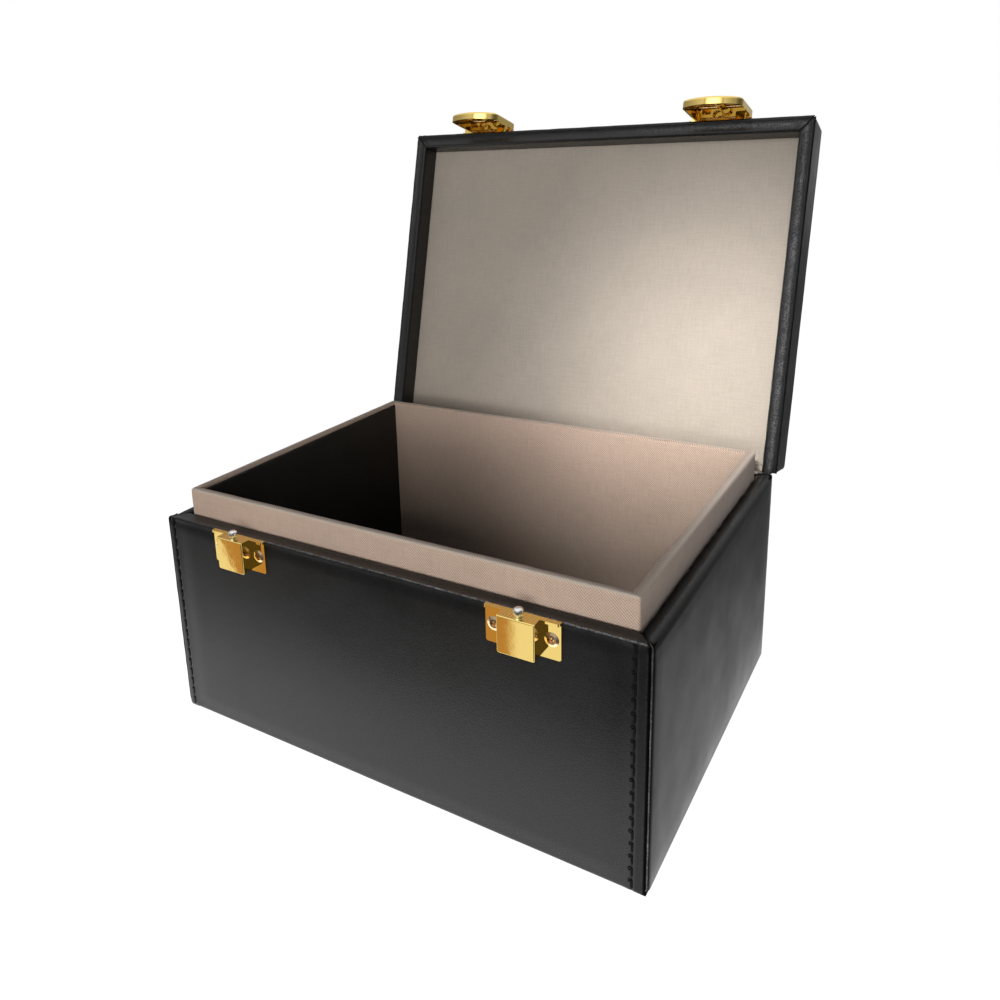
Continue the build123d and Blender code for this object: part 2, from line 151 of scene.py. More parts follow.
def ramp(t, fac, stops, interp="LINEAR"):
    n = node(t, "ShaderNodeValToRGB")
    n.color_ramp.interpolation = interp
    els = n.color_ramp.elements
    while len(els) < len(stops):
        els.new(0.5)
    for e, (p, c) in zip(els, stops):
        e.position = p
        e.color = (*c, 1.0) if len(c) == 3 else c
    t.links.new(fac, n.inputs[0])
    return n.outputs[0]


def map_range(t, v, a, b, c, d):
    n = node(t, "ShaderNodeMapRange")
    for i, x in enumerate((a, b, c, d)):
        n.inputs[1 + i].default_value = x
    t.links.new(v, n.inputs[0])
    return n.outputs[0]


def mix_rgb(t, fac, a, b, blend="MIX"):
    n = node(t, "ShaderNodeMix", data_type="RGBA", blend_type=blend)
    for sock, v in ((n.inputs[0], fac), (n.inputs[6], a), (n.inputs[7], b)):
        if isinstance(v, (int, float)):
            sock.default_value = v
        elif isinstance(v, tuple):
            sock.default_value = (*v, 1.0) if len(v) == 3 else v
        else:
            t.links.new(v, sock)
    return n.outputs[2]


def bump(t, height, dist, strength=1.0, normal=None):
    n = node(t, "ShaderNodeBump")
    n.inputs["Strength"].default_value = strength
    n.inputs["Distance"].default_value = dist
    t.links.new(height, n.inputs["Height"])
    if normal is not None:
        t.links.new(normal, n.inputs["Normal"])
    return n.outputs[0]


def leather(name, grain=0.00085, depth=0.000032, dark=(0.0035, 0.0035, 0.0037), light=(0.0080, 0.0080, 0.0082),
            rough=(0.29, 0.38), strength=1.0, spec=0.37):
    m, t, b = mat(name)
    v = coords(t)
    cells = voronoi(t, v, 1 / grain, "SMOOTH_F1", smoothness=0.35)
    edges = voronoi(t, v, 1 / grain, "DISTANCE_TO_EDGE")
    fine = noise_tex(t, v, 2600, 2.0)
    broad = noise_tex(t, v, 45, 3.0)
    mid = noise_tex(t, v, 260, 2.0)
    pebble = math_node(t, "SUBTRACT", 1.0, cells)
    groove = math_node(t, "MULTIPLY", map_range(t, edges, 0.0, 0.16, 0.0, 1.0), 0.55)
    h = math_node(t, "ADD", math_node(t, "MULTIPLY", pebble, 0.7), groove)
    h = math_node(t, "ADD", h, math_node(t, "MULTIPLY", fine, 0.30))
    h = math_node(t, "ADD", h, math_node(t, "MULTIPLY", mid, 0.5))
    t.links.new(bump(t, h, depth, strength), b.inputs["Normal"])
    tone = math_node(t, "ADD", math_node(t, "MULTIPLY", broad, 0.6), math_node(t, "MULTIPLY", pebble, 0.4))
    base = ramp(t, tone, [(0.25, dark), (0.8, light)])
    # partly worn by rubbing, partly painted highlight: where the mask is set, the high points of the grain are made
    # paler and smoother
    at = node(t, "ShaderNodeAttribute", attribute_name="wear_and_highlight")
    spots = map_range(t, math_node(t, "ADD", math_node(t, "MULTIPLY", pebble, 0.6), math_node(t, "MULTIPLY", fine, 0.6)),
                      0.45, 0.85, 0.15, 1.0)
    wear_and_highlight = math_node(t, "MULTIPLY", at.outputs["Fac"], spots, clamp=True)
    # painted shade: creases, grooves and seams are darkened towards black, their reflection cut and their roughness
    # raised
    cr = node(t, "ShaderNodeAttribute", attribute_name="painted_shade")
    painted_shade = math_node(t, "MULTIPLY", cr.outputs["Fac"], 1.0, clamp=True)
    col = mix_rgb(t, wear_and_highlight, base, (0.42, 0.42, 0.43))
    t.links.new(mix_rgb(t, painted_shade, col, (0.002, 0.002, 0.002)), b.inputs["Base Color"])
    r0 = map_range(t, broad, 0.3, 0.7, rough[0], rough[1])
    r1 = math_node(t, "SUBTRACT", r0, math_node(t, "MULTIPLY", wear_and_highlight, 0.12))
    t.links.new(math_node(t, "ADD", r1, math_node(t, "MULTIPLY", painted_shade, 0.3)), b.inputs["Roughness"])
    b.inputs["IOR"].default_value = 1.46
    # the sheen breaks up over the grain
    sp = math_node(t, "ADD", math_node(t, "MULTIPLY", math_node(t, "SUBTRACT", fine, 0.5), 0.9 * spec), spec)
    sp = math_node(t, "MULTIPLY", sp, math_node(t, "SUBTRACT", 1.0, math_node(t, "MULTIPLY", painted_shade, 0.93)))
    t.links.new(sp, b.inputs["Specular IOR Level"])
    return m


def linen(name, warm=(0.50, 0.40, 0.335), cool=(0.40, 0.365, 0.31), pitch=0.62, depth=0.00009, mottle=0.35,
          contrast=0.5, twill=0.06, weave=0.06):
    """Plain weave over UVs in millimetres, with slubs in both thread directions."""
    m, t, b = mat(name)
    tc = node(t, "ShaderNodeTexCoord")
    sep = node(t, "ShaderNodeSeparateXYZ")
    t.links.new(tc.outputs["UV"], sep.inputs[0])
    obj = tc.outputs["Object"]
    wob = noise_tex(t, obj, 160, 2.0)
    u = math_node(t, "ADD", sep.outputs[0], math_node(t, "MULTIPLY", wob, 0.5))
    w = math_node(t, "ADD", sep.outputs[1], math_node(t, "MULTIPLY", wob, 0.5))
    k = math.pi / pitch
    su = math_node(t, "SINE", math_node(t, "MULTIPLY", u, k))
    sw = math_node(t, "SINE", math_node(t, "MULTIPLY", w, k))
    plain = math_node(t, "MULTIPLY", su, sw)
    # a slightly uneven thread count along each direction
    def streak(sx, sy):
        mp = node(t, "ShaderNodeMapping")
        mp.inputs["Scale"].default_value = (sx, sy, 1.0)
        t.links.new(tc.outputs["UV"], mp.inputs["Vector"])
        return noise_tex(t, mp.outputs[0], 1.0, 2.0, 0.6)
    warp, weft = streak(1.6, 0.10), streak(0.10, 1.6)
    slub = math_node(t, "ADD", math_node(t, "MULTIPLY", warp, 0.5), math_node(t, "MULTIPLY", weft, 0.5))
    fuzz = noise_tex(t, obj, 2200, 2.0)
    h = math_node(t, "ADD", math_node(t, "MULTIPLY", plain, 0.5), math_node(t, "MULTIPLY", slub, 0.9))
    h = math_node(t, "ADD", h, math_node(t, "MULTIPLY", fuzz, 0.35))
    t.links.new(bump(t, h, depth, 0.8), b.inputs["Normal"])
    broad = noise_tex(t, obj, 22, 3.0)
    tone = math_node(t, "ADD", math_node(t, "MULTIPLY", broad, mottle), math_node(t, "MULTIPLY", slub, contrast))
    diag = math_node(t, "SINE", math_node(t, "MULTIPLY", math_node(t, "ADD", u, w), 2 * math.pi / (0.80 * 1.4142)))
    tone = math_node(t, "ADD", tone, math_node(t, "MULTIPLY", plain, weave))
    tone = math_node(t, "ADD", tone, math_node(t, "MULTIPLY", diag, twill))
    tone = math_node(t, "ADD", tone, math_node(t, "MULTIPLY", math_node(t, "SUBTRACT", fuzz, 0.5), 0.16))
    lo, hi = tuple(c * 0.80 for c in cool), tuple(min(1, c * 1.18) for c in warm)
    mid = 0.5 * (mottle + contrast)
    col = ramp(t, tone, [(mid - 0.16, lo), (mid, tuple((a + c) / 2 for a, c in zip(warm, cool))), (mid + 0.16, hi)])
    # painted highlight: where the mask is set, edges are made pale cream, as if catching more light on their raised
    # fibres
    at = node(t, "ShaderNodeAttribute", attribute_name="wear_and_highlight")
    pale = math_node(t, "MULTIPLY", at.outputs["Fac"], map_range(t, plain, -1.0, 1.0, 0.7, 1.0), clamp=True)
    t.links.new(mix_rgb(t, pale, col, (0.86, 0.80, 0.70)), b.inputs["Base Color"])
    b.inputs["Roughness"].default_value = 0.78
    b.inputs["Sheen Weight"].default_value = 0.25
    b.inputs["Sheen Roughness"].default_value = 0.5
    return m


def metal(name, col, rough=0.07, dirt=0.0, scratch=0.00001):
    m, t, b = mat(name)
    v = coords(t)
    n1 = noise_tex(t, v, 350, 3.0)
    n2 = noise_tex(t, v, 2500, 2.0)
    b.inputs["Metallic"].default_value = 1.0
    t.links.new(mix_rgb(t, n1, tuple(c * (1 - dirt) for c in col), col), b.inputs["Base Color"])
    t.links.new(map_range(t, n1, 0.3, 0.7, rough * 0.7, rough * 1.5), b.inputs["Roughness"])
    h = math_node(t, "ADD", math_node(t, "MULTIPLY", n1, 1.0), math_node(t, "MULTIPLY", n2, 0.08))
    t.links.new(bump(t, h, scratch * 4, 0.35), b.inputs["Normal"])
    return m


def board(name, a, c, rough=0.85):
    m, t, b = mat(name)
    v = coords(t, scale=(1, 1, 1))
    n1 = noise_tex(t, v, 900, 4.0, 0.65)
    n2 = noise_tex(t, v, 120, 3.0)
    f = math_node(t, "ADD", math_node(t, "MULTIPLY", n1, 0.7), math_node(t, "MULTIPLY", n2, 0.3))
    t.links.new(ramp(t, f, [(0.3, a), (0.7, c)]), b.inputs["Base Color"])
    b.inputs["Roughness"].default_value = rough
    t.links.new(bump(t, n1, 0.00006, 0.5), b.inputs["Normal"])
    return m


M_LEATHER = leather("leather_black")
M_RIM = leather("leather_rim", grain=0.00085, depth=0.000065, rough=(0.26, 0.34), strength=1.0, spec=0.5)
M_LINING = leather("lining_black", grain=0.0006, depth=0.00003, dark=(0.006, 0.006, 0.006), light=(0.013, 0.013, 0.012),
                   rough=(0.42, 0.6), strength=0.4)
M_PAPER = board("underside_paper", (0.012, 0.012, 0.012), (0.03, 0.03, 0.03), 0.7)
M_LINEN = linen("linen_liner", warm=(0.58, 0.425, 0.335), cool=(0.48, 0.36, 0.28), mottle=0.14, contrast=0.34,
                twill=0.13, weave=0.10)
# Lid cloth: partly its own cooler tone, partly painted light: a second copy of the linen whose brightness is set apart
# from the liner's to match how the lid is lit
M_LINEN_LID_LIGHT_MATCHED = linen("linen_lid_light_matched", warm=(0.46, 0.39, 0.33), cool=(0.41, 0.37, 0.305), pitch=0.62, mottle=0.16,
                    contrast=0.34)
M_GOLD = metal("gold_polished", (0.96, 0.70, 0.22), 0.05, 0.05)
M_SILVER = metal("nickel_bright", (0.86, 0.85, 0.83), 0.10, 0.08)
M_SCREW = metal("screw_plated", (0.92, 0.68, 0.42), 0.14, 0.12)
M_SPRING = metal("spring_gold", (0.98, 0.74, 0.30), 0.14, 0.1)
M_FIBRE = board("fibreboard", (0.33, 0.24, 0.15), (0.47, 0.36, 0.24))
M_GREY = board("greyboard", (0.32, 0.30, 0.28), (0.46, 0.44, 0.41))
M_FOAM = board("foam", (0.66, 0.65, 0.60), (0.82, 0.81, 0.77), 0.95)


def thread_material():
    m, t, b = mat("thread_black")
    v = coords(t)
    tw = node(t, "ShaderNodeTexWave", wave_type="BANDS", bands_direction="DIAGONAL")
    tw.inputs["Scale"].default_value = 1600
    tw.inputs["Distortion"].default_value = 1.0
    t.links.new(v, tw.inputs["Vector"])
    t.links.new(ramp(t, tw.outputs["Fac"], [(0.2, (0.002, 0.002, 0.002)), (0.9, (0.010, 0.010, 0.0105))]),
                b.inputs["Base Color"])
    b.inputs["Roughness"].default_value = 0.62
    b.inputs["Specular IOR Level"].default_value = 0.12
    t.links.new(bump(t, tw.outputs["Fac"], 0.00005, 0.8), b.inputs["Normal"])
    return m


M_THREAD = thread_material()


# ------------------------------------------------------------------ mesh tools
def make(name, verts, faces, material, uv=None, body=None, slot=None, replaces=(), thick=None, offset=-1.0,
         lid=False, wear_and_highlight=None, painted_shade=None):
    """A piece from points in mm. lid=True: the points are of the closed lid and are taken to the open pose."""
    if lid:
        verts = [opened(p) for p in verts]
    me = bpy.data.meshes.new(name)
    me.from_pydata([(x * MM, y * MM, z * MM) for x, y, z in verts], [], faces)
    me.validate()
    if uv is not None:
        lay = me.uv_layers.new(name="UVMap")
        vi = np.zeros(len(me.loops), dtype=np.int32)
        me.loops.foreach_get("vertex_index", vi)
        arr = np.asarray(uv, dtype=np.float32)[vi]
        lay.data.foreach_set("uv", arr.ravel())
    me.polygons.foreach_set("use_smooth", [True] * len(me.polygons))
    me.materials.append(material)
    # per-point masks: one partly worn, partly painted highlight; one painted shade
    for key, vals in (("wear_and_highlight", wear_and_highlight), ("painted_shade", painted_shade)):
        if vals is not None:
            at = me.attributes.new(key, "FLOAT", "POINT")
            at.data.foreach_set("value", np.asarray(vals, dtype=np.float32))
    me.update()
    o = bpy.data.objects.new(name, me)
    bpy.context.scene.collection.objects.link(o)
    if thick:
        md = o.modifiers.new("thickness", "SOLIDIFY")
        md.thickness = thick * MM
        md.offset = offset
        md.use_rim = True
        md.use_quality_normals = True
    if body:
        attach(o, body)
    if replaces:
        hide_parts(*replaces)
    return o


def grid_faces(nr, nc, flip=False, wrap=False, base=0):
    f = []
    cols = nc if wrap else nc - 1
    for i in range(nr - 1):
        for j in range(cols):
            a, b = base + i * nc + j, base + i * nc + (j + 1) % nc
            c, d = base + (i + 1) * nc + (j + 1) % nc, base + (i + 1) * nc + j
            f.append((a, d, c, b) if flip else (a, b, c, d))
    return f


def arc(cx, cz, r, a0, a1, n):
    return [(cx + r * math.cos(math.radians(a0 + (a1 - a0) * i / n)),
             cz + r * math.sin(math.radians(a0 + (a1 - a0) * i / n))) for i in range(n + 1)]


def resample(pts, step):
    """Divides long runs of a polyline into pieces of at most step."""
    out = [pts[0]]
    for p, q in zip(pts, pts[1:]):
        n = max(1, int(math.ceil(math.dist(p, q) / step)))
        for i in range(1, n + 1):
            out.append(tuple(a + (b - a) * i / n for a, b in zip(p, q)))
    clean = [out[0]]
    for p in out[1:]:
        if math.dist(p, clean[-1]) > 1e-4:
            clean.append(p)
    return clean


def normals2(pts):
    """Left-hand normals of a 2-D polyline, outward for one drawn up the outside and over the top."""
    out = []
    for i in range(len(pts)):
        p, q = pts[max(0, i - 1)], pts[min(len(pts) - 1, i + 1)]
        dx, dz = q[0] - p[0], q[1] - p[1]
        l = math.hypot(dx, dz) or 1.0
        out.append((-dz / l, dx / l))
    return out


def stations(a, b, step, fine_ends=(0.0, 0.08, 0.2, 0.36, 0.55, 0.8, 1.1, 1.6, 2.3, 3.2), extra=()):
    s = set()
    for e in fine_ends:
        s.add(round(a + e, 4))
        s.add(round(b - e, 4))
    lo, hi = a + fine_ends[-1], b - fine_ends[-1]
    n = int((hi - lo) / step)
    for i in range(1, n):
        s.add(round(lo + (hi - lo) * i / n, 4))
    for x in extra:
        for e in (-1.5, -1.0, -0.7, -0.45, -0.25, -0.12, 0, 0.12, 0.25, 0.45, 0.7, 1.0, 1.5):
            s.add(round(x + e, 4))
    out = sorted(s)
    keep = [out[0]]
    for x in out[1:]:
        if x - keep[-1] > 0.05:
            keep.append(x)
    return keep


def curl(e, r):
    """How far an edge has turned in, e from its end."""
    if e >= r:
        return 0.0
    return r - math.sqrt(max(0.0, r * r - (r - e) ** 2))


def roll(e, w, depth):
    """An edge rolled in over a width w and down by depth."""
    if e >= w:
        return 0.0
    return depth * (1 - math.sqrt(max(0.0, 1 - (1 - e / w) ** 2)))


def tube(path, r, sides=7, closed=False):
    """Vertices and faces of a tube along points in mm; r may be a list."""
    pts = [Vector(p) for p in path]
    n = len(pts)
    verts, faces = [], []
    up = None
    for i, p in enumerate(pts):
        tdir = (pts[min(n - 1, i + 1)] - pts[max(0, i - 1)]).normalized()
        if up is None:
            up = tdir.orthogonal().normalized()
        up = (up - tdir * up.dot(tdir)).normalized()
        side = tdir.cross(up)
        rr = r[i] if isinstance(r, (list, tuple)) else r
        for k in range(sides):
            a = 2 * math.pi * k / sides
            verts.append(tuple(p + (up * math.cos(a) + side * math.sin(a)) * rr))
    for i in range(n - 1):
        for k in range(sides):
            a, b = i * sides + k, i * sides + (k + 1) % sides
            faces.append((a, b, b + sides, a + sides))
    faces.append(tuple(reversed(range(sides))))
    faces.append(tuple((n - 1) * sides + k for k in range(sides)))
    return verts, faces


def join_parts(parts):
    verts, faces = [], []
    for v, f in parts:
        b = len(verts)
        verts += v
        faces += [tuple(i + b for i in q) for q in f]
    return verts, faces


# ------------------------------------------------------------------ outer leatherette of the box
def wall_profile(ledge, r_edge, r_nose):
    p = [(3.8, 0.12), (1.7, 0.12)]
    p += arc(1.7, 1.82, 1.7, -90, -180, 6)[1:]
    p += [(0, LEDGE_Z - r_edge)]
    p += arc(r_edge, LEDGE_Z - r_edge, r_edge, 180, 90, 9)[1:]
    p += [(ledge - r_nose, LEDGE_Z)]
    p += arc(ledge - r_nose, LEDGE_Z - r_nose, r_nose, 90, 0, 7)[1:]
    p += [(ledge - 0.02, LEDGE_Z - r_nose - 5.0)]
    return p


def wall(name, place, profile, ledge, lo, hi, extra, disp, replaces, highlight_fn=None, ends=((1.2, 1.0, 0.85), (1.2, 1.0, 0.85)),
         step=2.2, shade_fn=None):
    """place(t, d, z) -> point. lo and hi are (corner, run): where the corner stands along t, and how far the
    mitre on the ledge has come in from it at the liner."""
    prof = resample(profile, step)
    fine = []
    for p, q in zip(prof, prof[1:]):           # finer near the top edge
        fine.append(p)
        if p[1] > 84 and q[1] > 84 and math.dist(p, q) > 0.8:
            k = int(math.dist(p, q) / 0.7)
            for i in range(1, k):
                fine.append(tuple(a + (b - a) * i / k for a, b in zip(p, q)))
    fine.append(prof[-1])
    prof = fine
    nrm = normals2(prof)
    base = stations(lo[0], hi[0], 2.4, extra=extra)
    us = [(t - lo[0]) / (hi[0] - lo[0]) for t in base]
    verts, uv, wear_and_highlight, painted_shade = [], [], [], []
    run = 0.0
    for i, (d, z) in enumerate(prof):
        if i:
            run += math.dist(prof[i], prof[i - 1])
        f = min(1.0, max(0.0, d / ledge)) if z > 50 else 0.0
        top = smooth(0.3, 2.6, d) if z > 50 else 0.0
        g_lo, g_hi = (w[2] - (w[2] - 0.10) * top for w in ends)
        a, b = lo[0] + lo[1] * f + g_lo, hi[0] - hi[1] * f - g_hi
        pull = 0.0
        if z < 50:
            pull += d
        if z < 1.8:
            pull += 1.8 - math.sqrt(max(0.0, 1.8 ** 2 - (1.8 - z) ** 2))
        a, b = a + pull, b - pull
        for u, t0 in zip(us, base):
            t = a + (b - a) * u
            e = min(t - a, b - t)
            w = ends[0] if t - a < b - t else ends[1]
            h = disp(t, t0, d, z, e) - roll(e, w[0] + (0.8 - w[0]) * top, w[1] + (0.5 - w[1]) * top)
            dd, zz = d + nrm[i][0] * h, z + nrm[i][1] * h
            verts.append(place(t, dd, max(0.02, zz)))
            uv.append((t0, run))
            # partly worn, partly painted highlight from the given function
            wear_and_highlight.append(highlight_fn(t0, d, z, e) if highlight_fn else 0.0)
            # painted shade: darker and duller towards each corner end, less so on the ledge, plus the given painted
            # shade
            end = (1 - smooth(0.25 * w[0], 0.85 * w[0], e)) * (1 - 0.6 * top)
            painted_shade.append(min(1.0, end + (shade_fn(t, d, z) if shade_fn else 0.0)))
    o = make(name, verts, grid_faces(len(prof), len(base)), M_LEATHER, uv=uv, body="box",
             slot="leatherette_black", replaces=replaces, thick=0.6, wear_and_highlight=wear_and_highlight, painted_shade=painted_shade)
    return o


PITCH = 4.95


def dash(z):
    """1 where a stitch pulls the leather down, 0 in the gap before the next."""
    q = (z - 1.5) % PITCH
    return smooth(0.0, 0.5, q) * (1 - smooth(3.4, 4.0, q)) if z < 95 else 0.0


# Painted shade on the front skin: darker on the ledge next to the liner, along the stitch channels, in a band under the
# top edge, and right of the right stitch line
def front_painted_shade(t, d, z):
    if d > 1.0 or z > LEDGE_Z - 0.6:
        return 0.35 * smooth(4.6, 7.4, d)
    v = 0.34 * smooth(STITCH_R + 0.3, STITCH_R + 1.6, t)
    for s in (STITCH_L, STITCH_R):
        v += (0.20 + 0.70 * dash(z)) * bell(t - s, 0.26)
    return v + 0.30 * bell(z - 93.4, 0.9)


# Painted shade on the side and rear ledges, darker towards the liner
def side_painted_shade(t, d, z):
    return 0.75 * smooth(2.4, 5.4, d) if z > 90 else 0.0


def front_disp(t, t0, d, z, e):
    h = 0.0
    if d < 1.3 and z < 94.9:
        inner = smooth(0.6, 9.0, t0 - STITCH_L) * smooth(0.6, 9.0, STITCH_R - t0)
        h += 0.38 * inner * smooth(1.0, 9.0, z) * smooth(0.4, 7.0, LEDGE_Z - z)
        h -= 0.16 * bell(z - 92.6, 1.3) * smooth(0, 3, e)
        for s in (STITCH_L, STITCH_R):
            h -= (0.06 + 0.42 * dash(z)) * bell(t - s, 0.32)
            h += 0.06 * bell(t - s - 1.3, 0.7) + 0.06 * bell(t - s + 1.3, 0.7)
        h += 0.07 * nz(t0 / 40, z / 34, 0, 1) + 0.016 * nz(t0 / 11, z / 11, 0, 2)
    # the left end is rounded off at the top
    h -= 0.75 * (1 - smooth(0.0, 3.4, t + HW)) * smooth(LEDGE_Z - 3.0, LEDGE_Z - 0.2, z) * (1 - smooth(2.0, 5.0, d))
    if z >= LEDGE_Z - 1.4:
        edge = bell(d - 0.7, 1.0)
        h += edge * (0.10 * nz(t0 / 4.0, 3.1, 0, 3) + 0.06 * nz(t0 / 1.3, 7.7, 0, 4))
        h += 0.14 * bell(d - 0.6, 0.5) - 0.12 * bell(d - 3.0, 1.5)
        h += 0.08 * nz(t0 / 11, d / 3, 0, 5)
    return h


def side_disp(seed):
    def f(t, t0, d, z, e):
        h = 0.0
        if d < 3.4 and z < 94.9:
            h += 0.30 * smooth(1.0, 9.0, z) * smooth(0.0, 7.0, e)
            h += 0.07 * nz(t0 / 42, z / 42, 0, seed) + 0.015 * nz(t0 / 11, z / 11, 0, seed + 1)
            h -= 0.30 * smooth(86, 95, z) * smooth(0, 3, e)
        if z > 90 and d > 2.0:
            near = smooth(2.2, 6.4, d)
            h += near * (0.22 * nz(t0 / 7.0, d / 2.5, 0, seed + 2) + 0.20 * nz(t0 / 2.6, d / 1.6, 0, seed + 3))
            h -= 0.35 * near
        return h
    return f


# Partly worn, partly painted highlight: a pale, glossier dotted line along the front top fold, stronger towards the
# right, and a faint line at the corner ends
def front_wear_and_highlight(t0, d, z, e):
    if z < 92:
        return 0.08 * bell(e - 0.8, 0.3)
    if z < LEDGE_Z - 0.8 or d > 1.6:
        return 0.0
    dots = 0.55 + 0.9 * max(0.0, nz(t0 / 0.9, 0, 0, 9) + 0.25)
    return bell(d - 0.42, 0.22) * (0.20 + 0.45 * smooth(-90, -40, t0) + 0.45 * smooth(-20, 60, t0)) * dots


# Partly worn, partly painted highlight: faint, near the top edge and the corner ends of the side and rear skins
def side_wear_and_highlight(t0, d, z, e):
    return 0.05 * bell(d - 2.2, 1.6) if z > 90 else 0.05 * bell(e - 0.6, 0.5)


leather_front = wall("box_leather_front", lambda t, d, z: (t, YF + d, z), wall_profile(LEDGE_F, 0.65, 1.5), LEDGE_F,
                     (-HW, LEDGE_S), (HW, LEDGE_S), (-107.13, 105.22), front_disp, ["front_skin"], front_wear_and_highlight,
                     ends=((0.7, 0.45, 0.35), (1.3, 1.1, 0.85)), step=0.55, shade_fn=front_painted_shade)
leather_right = wall("box_leather_right", lambda t, d, z: (HW - d, t, z), wall_profile(LEDGE_S, 3.2, 2.0), LEDGE_S,
                     (-HD, LEDGE_F), (HD, LEDGE_R), (), side_disp(11), ["right_skin"], side_wear_and_highlight,
                     ends=((2.2, 1.7, 1.25), (1.6, 1.1, 0.8)), shade_fn=side_painted_shade)
leather_rear = wall("box_leather_rear", lambda t, d, z: (-t, YR - d, z), wall_profile(LEDGE_R, 1.9, 1.5), LEDGE_R,
                    (-HW, LEDGE_S), (HW, LEDGE_S), (), side_disp(21), ["rear_skin"], side_wear_and_highlight,
                    ends=((1.6, 1.1, 0.8), (1.6, 1.1, 0.8)), shade_fn=side_painted_shade)
leather_left = wall("box_leather_left", lambda t, d, z: (-HW + d, -t, z), wall_profile(LEDGE_S, 3.2, 2.0), LEDGE_S,
                    (-HD, LEDGE_R), (HD, LEDGE_F), (), side_disp(31), ["left_skin"], side_wear_and_highlight,
                    ends=((1.6, 1.1, 0.8), (0.7, 0.45, 0.35)), shade_fn=side_painted_shade)


# Folded edge showing in each corner seam
def corner_bead(name, sx, sy, sink, rub_highlight, bead_shade, r0=0.32):
    cx, cy = sx * (HW - 0.26 - sink), sy * (HD - 0.26 - sink)
    path, rad = [], []
    n = 64
    z0, z1 = 0.75, LEDGE_Z - 1.0 - 1.6 * sink
    for i in range(n + 1):
        z = z0 + (z1 - z0) * i / n
        k = 1 - smooth(0.9, 3.6, z)
        path.append((cx - sx * k * 1.3 + 0.06 * nz(z / 6, 0, 0, 41), cy - sy * k * 1.3 + 0.06 * nz(z / 6, 5, 0, 42), z))
        rad.append(r0 + 0.04 * nz(z / 4, 9, 0, 43) + 0.30 * (1 - smooth(0.8, 2.4, z)))
    # over the corner and in along the seam on the ledge
    for k, z, r in ((0.10, 0.55, r0), (0.40, 0.30, 0.94 * r0), (0.9, 0.26, 0.8 * r0), (1.6, 0.30, 0.18), (2.6, 0.42, 0.10)):
        path.append((cx - sx * k * 0.93, cy - sy * k, LEDGE_Z - z - sink * max(0.0, 1.6 - k)))
        rad.append(r)
    v, f = tube(path, rad, 10)
    # partly worn, partly painted highlight along the bead; painted shade at its foot and, by the sixth argument, along
    # its length
    wear_and_highlight = [rub_highlight * (0.5 + 0.9 * max(0.0, nz(q[2] / 9, 3, 0, 45) + 0.35)) for q in v]
    painted_shade = [max(bead_shade, 1 - smooth(1.6, 4.0, q[2])) for q in v]
    return make(name, v, f, M_LEATHER, body="box", slot="leatherette_black", wear_and_highlight=wear_and_highlight, painted_shade=painted_shade)


corner_bead("corner_bead_front_right", 1, -1, 0.0, 0.30, 0.0, 0.25)
corner_bead("corner_bead_front_left", -1, -1, 0.25, 0.0, 0.55, 0.50)
corner_bead("corner_bead_rear_right", 1, 1, 0.35, 0.10, 0.3)
corner_bead("corner_bead_rear_left", -1, 1, 0.35, 0.10, 0.3)


def corner_tuck(name, sx, sy):
    """The edges turned in behind a corner join, given full painted shade, near black and without reflection, so the gap
    reads dark.
    """
    q = 0.56
    plan = [(HW - 5.0, HD - q), (HW - q - 0.6, HD - q), (HW - q, HD - q), (HW - q, HD - q - 0.6), (HW - q, HD - 5.0)]
    verts = []
    zs = [0.1, 0.3, 0.6, 1.2] + [2 + (LEDGE_Z - 3.0) * i / 30 for i in range(31)] + [LEDGE_Z - 0.62]
    for z in zs:
        k = 0.7 - math.sqrt(max(0.0, 0.7 ** 2 - max(0.0, 0.7 - z) ** 2))
        for x, y in plan:
            verts.append((sx * (x - k * (x > HW - 4)), sy * (y - k * (y > HD - 4)), z))
    return make(name, verts, grid_faces(len(zs), len(plan)), M_LEATHER, body="box", slot="leatherette_black",
                thick=0.1, painted_shade=[1.0] * len(verts))


for nm, sx, sy in (("front_right", 1, -1), ("front_left", -1, -1), ("rear_right", 1, 1), ("rear_left", -1, 1)):
    corner_tuck("corner_tuck_" + nm, sx, sy)


def stitches(name, x0, hook, ring_r):
    """A row of hand-set stitches: each comes out of its hole, runs up the channel and curls round at its top."""
    parts = []
    for i in range(19):
        z = 1.7 + i * PITCH
        jx, jl, jr = 0.10 * nz(i * 1.7, 1, 0, 51), 0.30 * nz(i * 2.3, 2, 0, 52), 1 + 0.25 * nz(i * 3.1, 4, 0, 53)
        y = YF - 0.02
        x, top = x0 + jx, z + 3.3 + jl
        pts = [(x + 0.05, y + 0.70, z - 0.25), (x + 0.04, y + 0.22, z - 0.05), (x, y + 0.02, z + 0.5)]
        pts += [(x + (0.16 * math.sin(math.pi * k / 6)) * -hook, y - 0.02, z + 0.5 + (top - z - 0.5) * k / 6)
                for k in range(1, 7)]
        r = ring_r * jr
        cxr = x + hook * r
        for k in range(1, 12):
            ang = math.radians(300 * k / 11)
            pts.append((cxr - hook * r * math.cos(ang), y - 0.14 - 0.12 * math.sin(min(math.pi, ang)),
                        top + 0.85 * r * math.sin(ang)))
        pts.append((pts[-1][0] - hook * 0.15, y + 0.30, pts[-1][2] + 0.05))
        pts.append((pts[-1][0], y + 0.70, pts[-1][2]))
        parts.append(tube(pts, 0.155, 8))
    v, f = join_parts(parts)
    return make(name, v, f, M_THREAD, body="box", slot="leatherette_black")


stitches("front_stitches_right", STITCH_R, -1, 0.60)
stitches("front_stitches_left", STITCH_L, -1, 0.34)


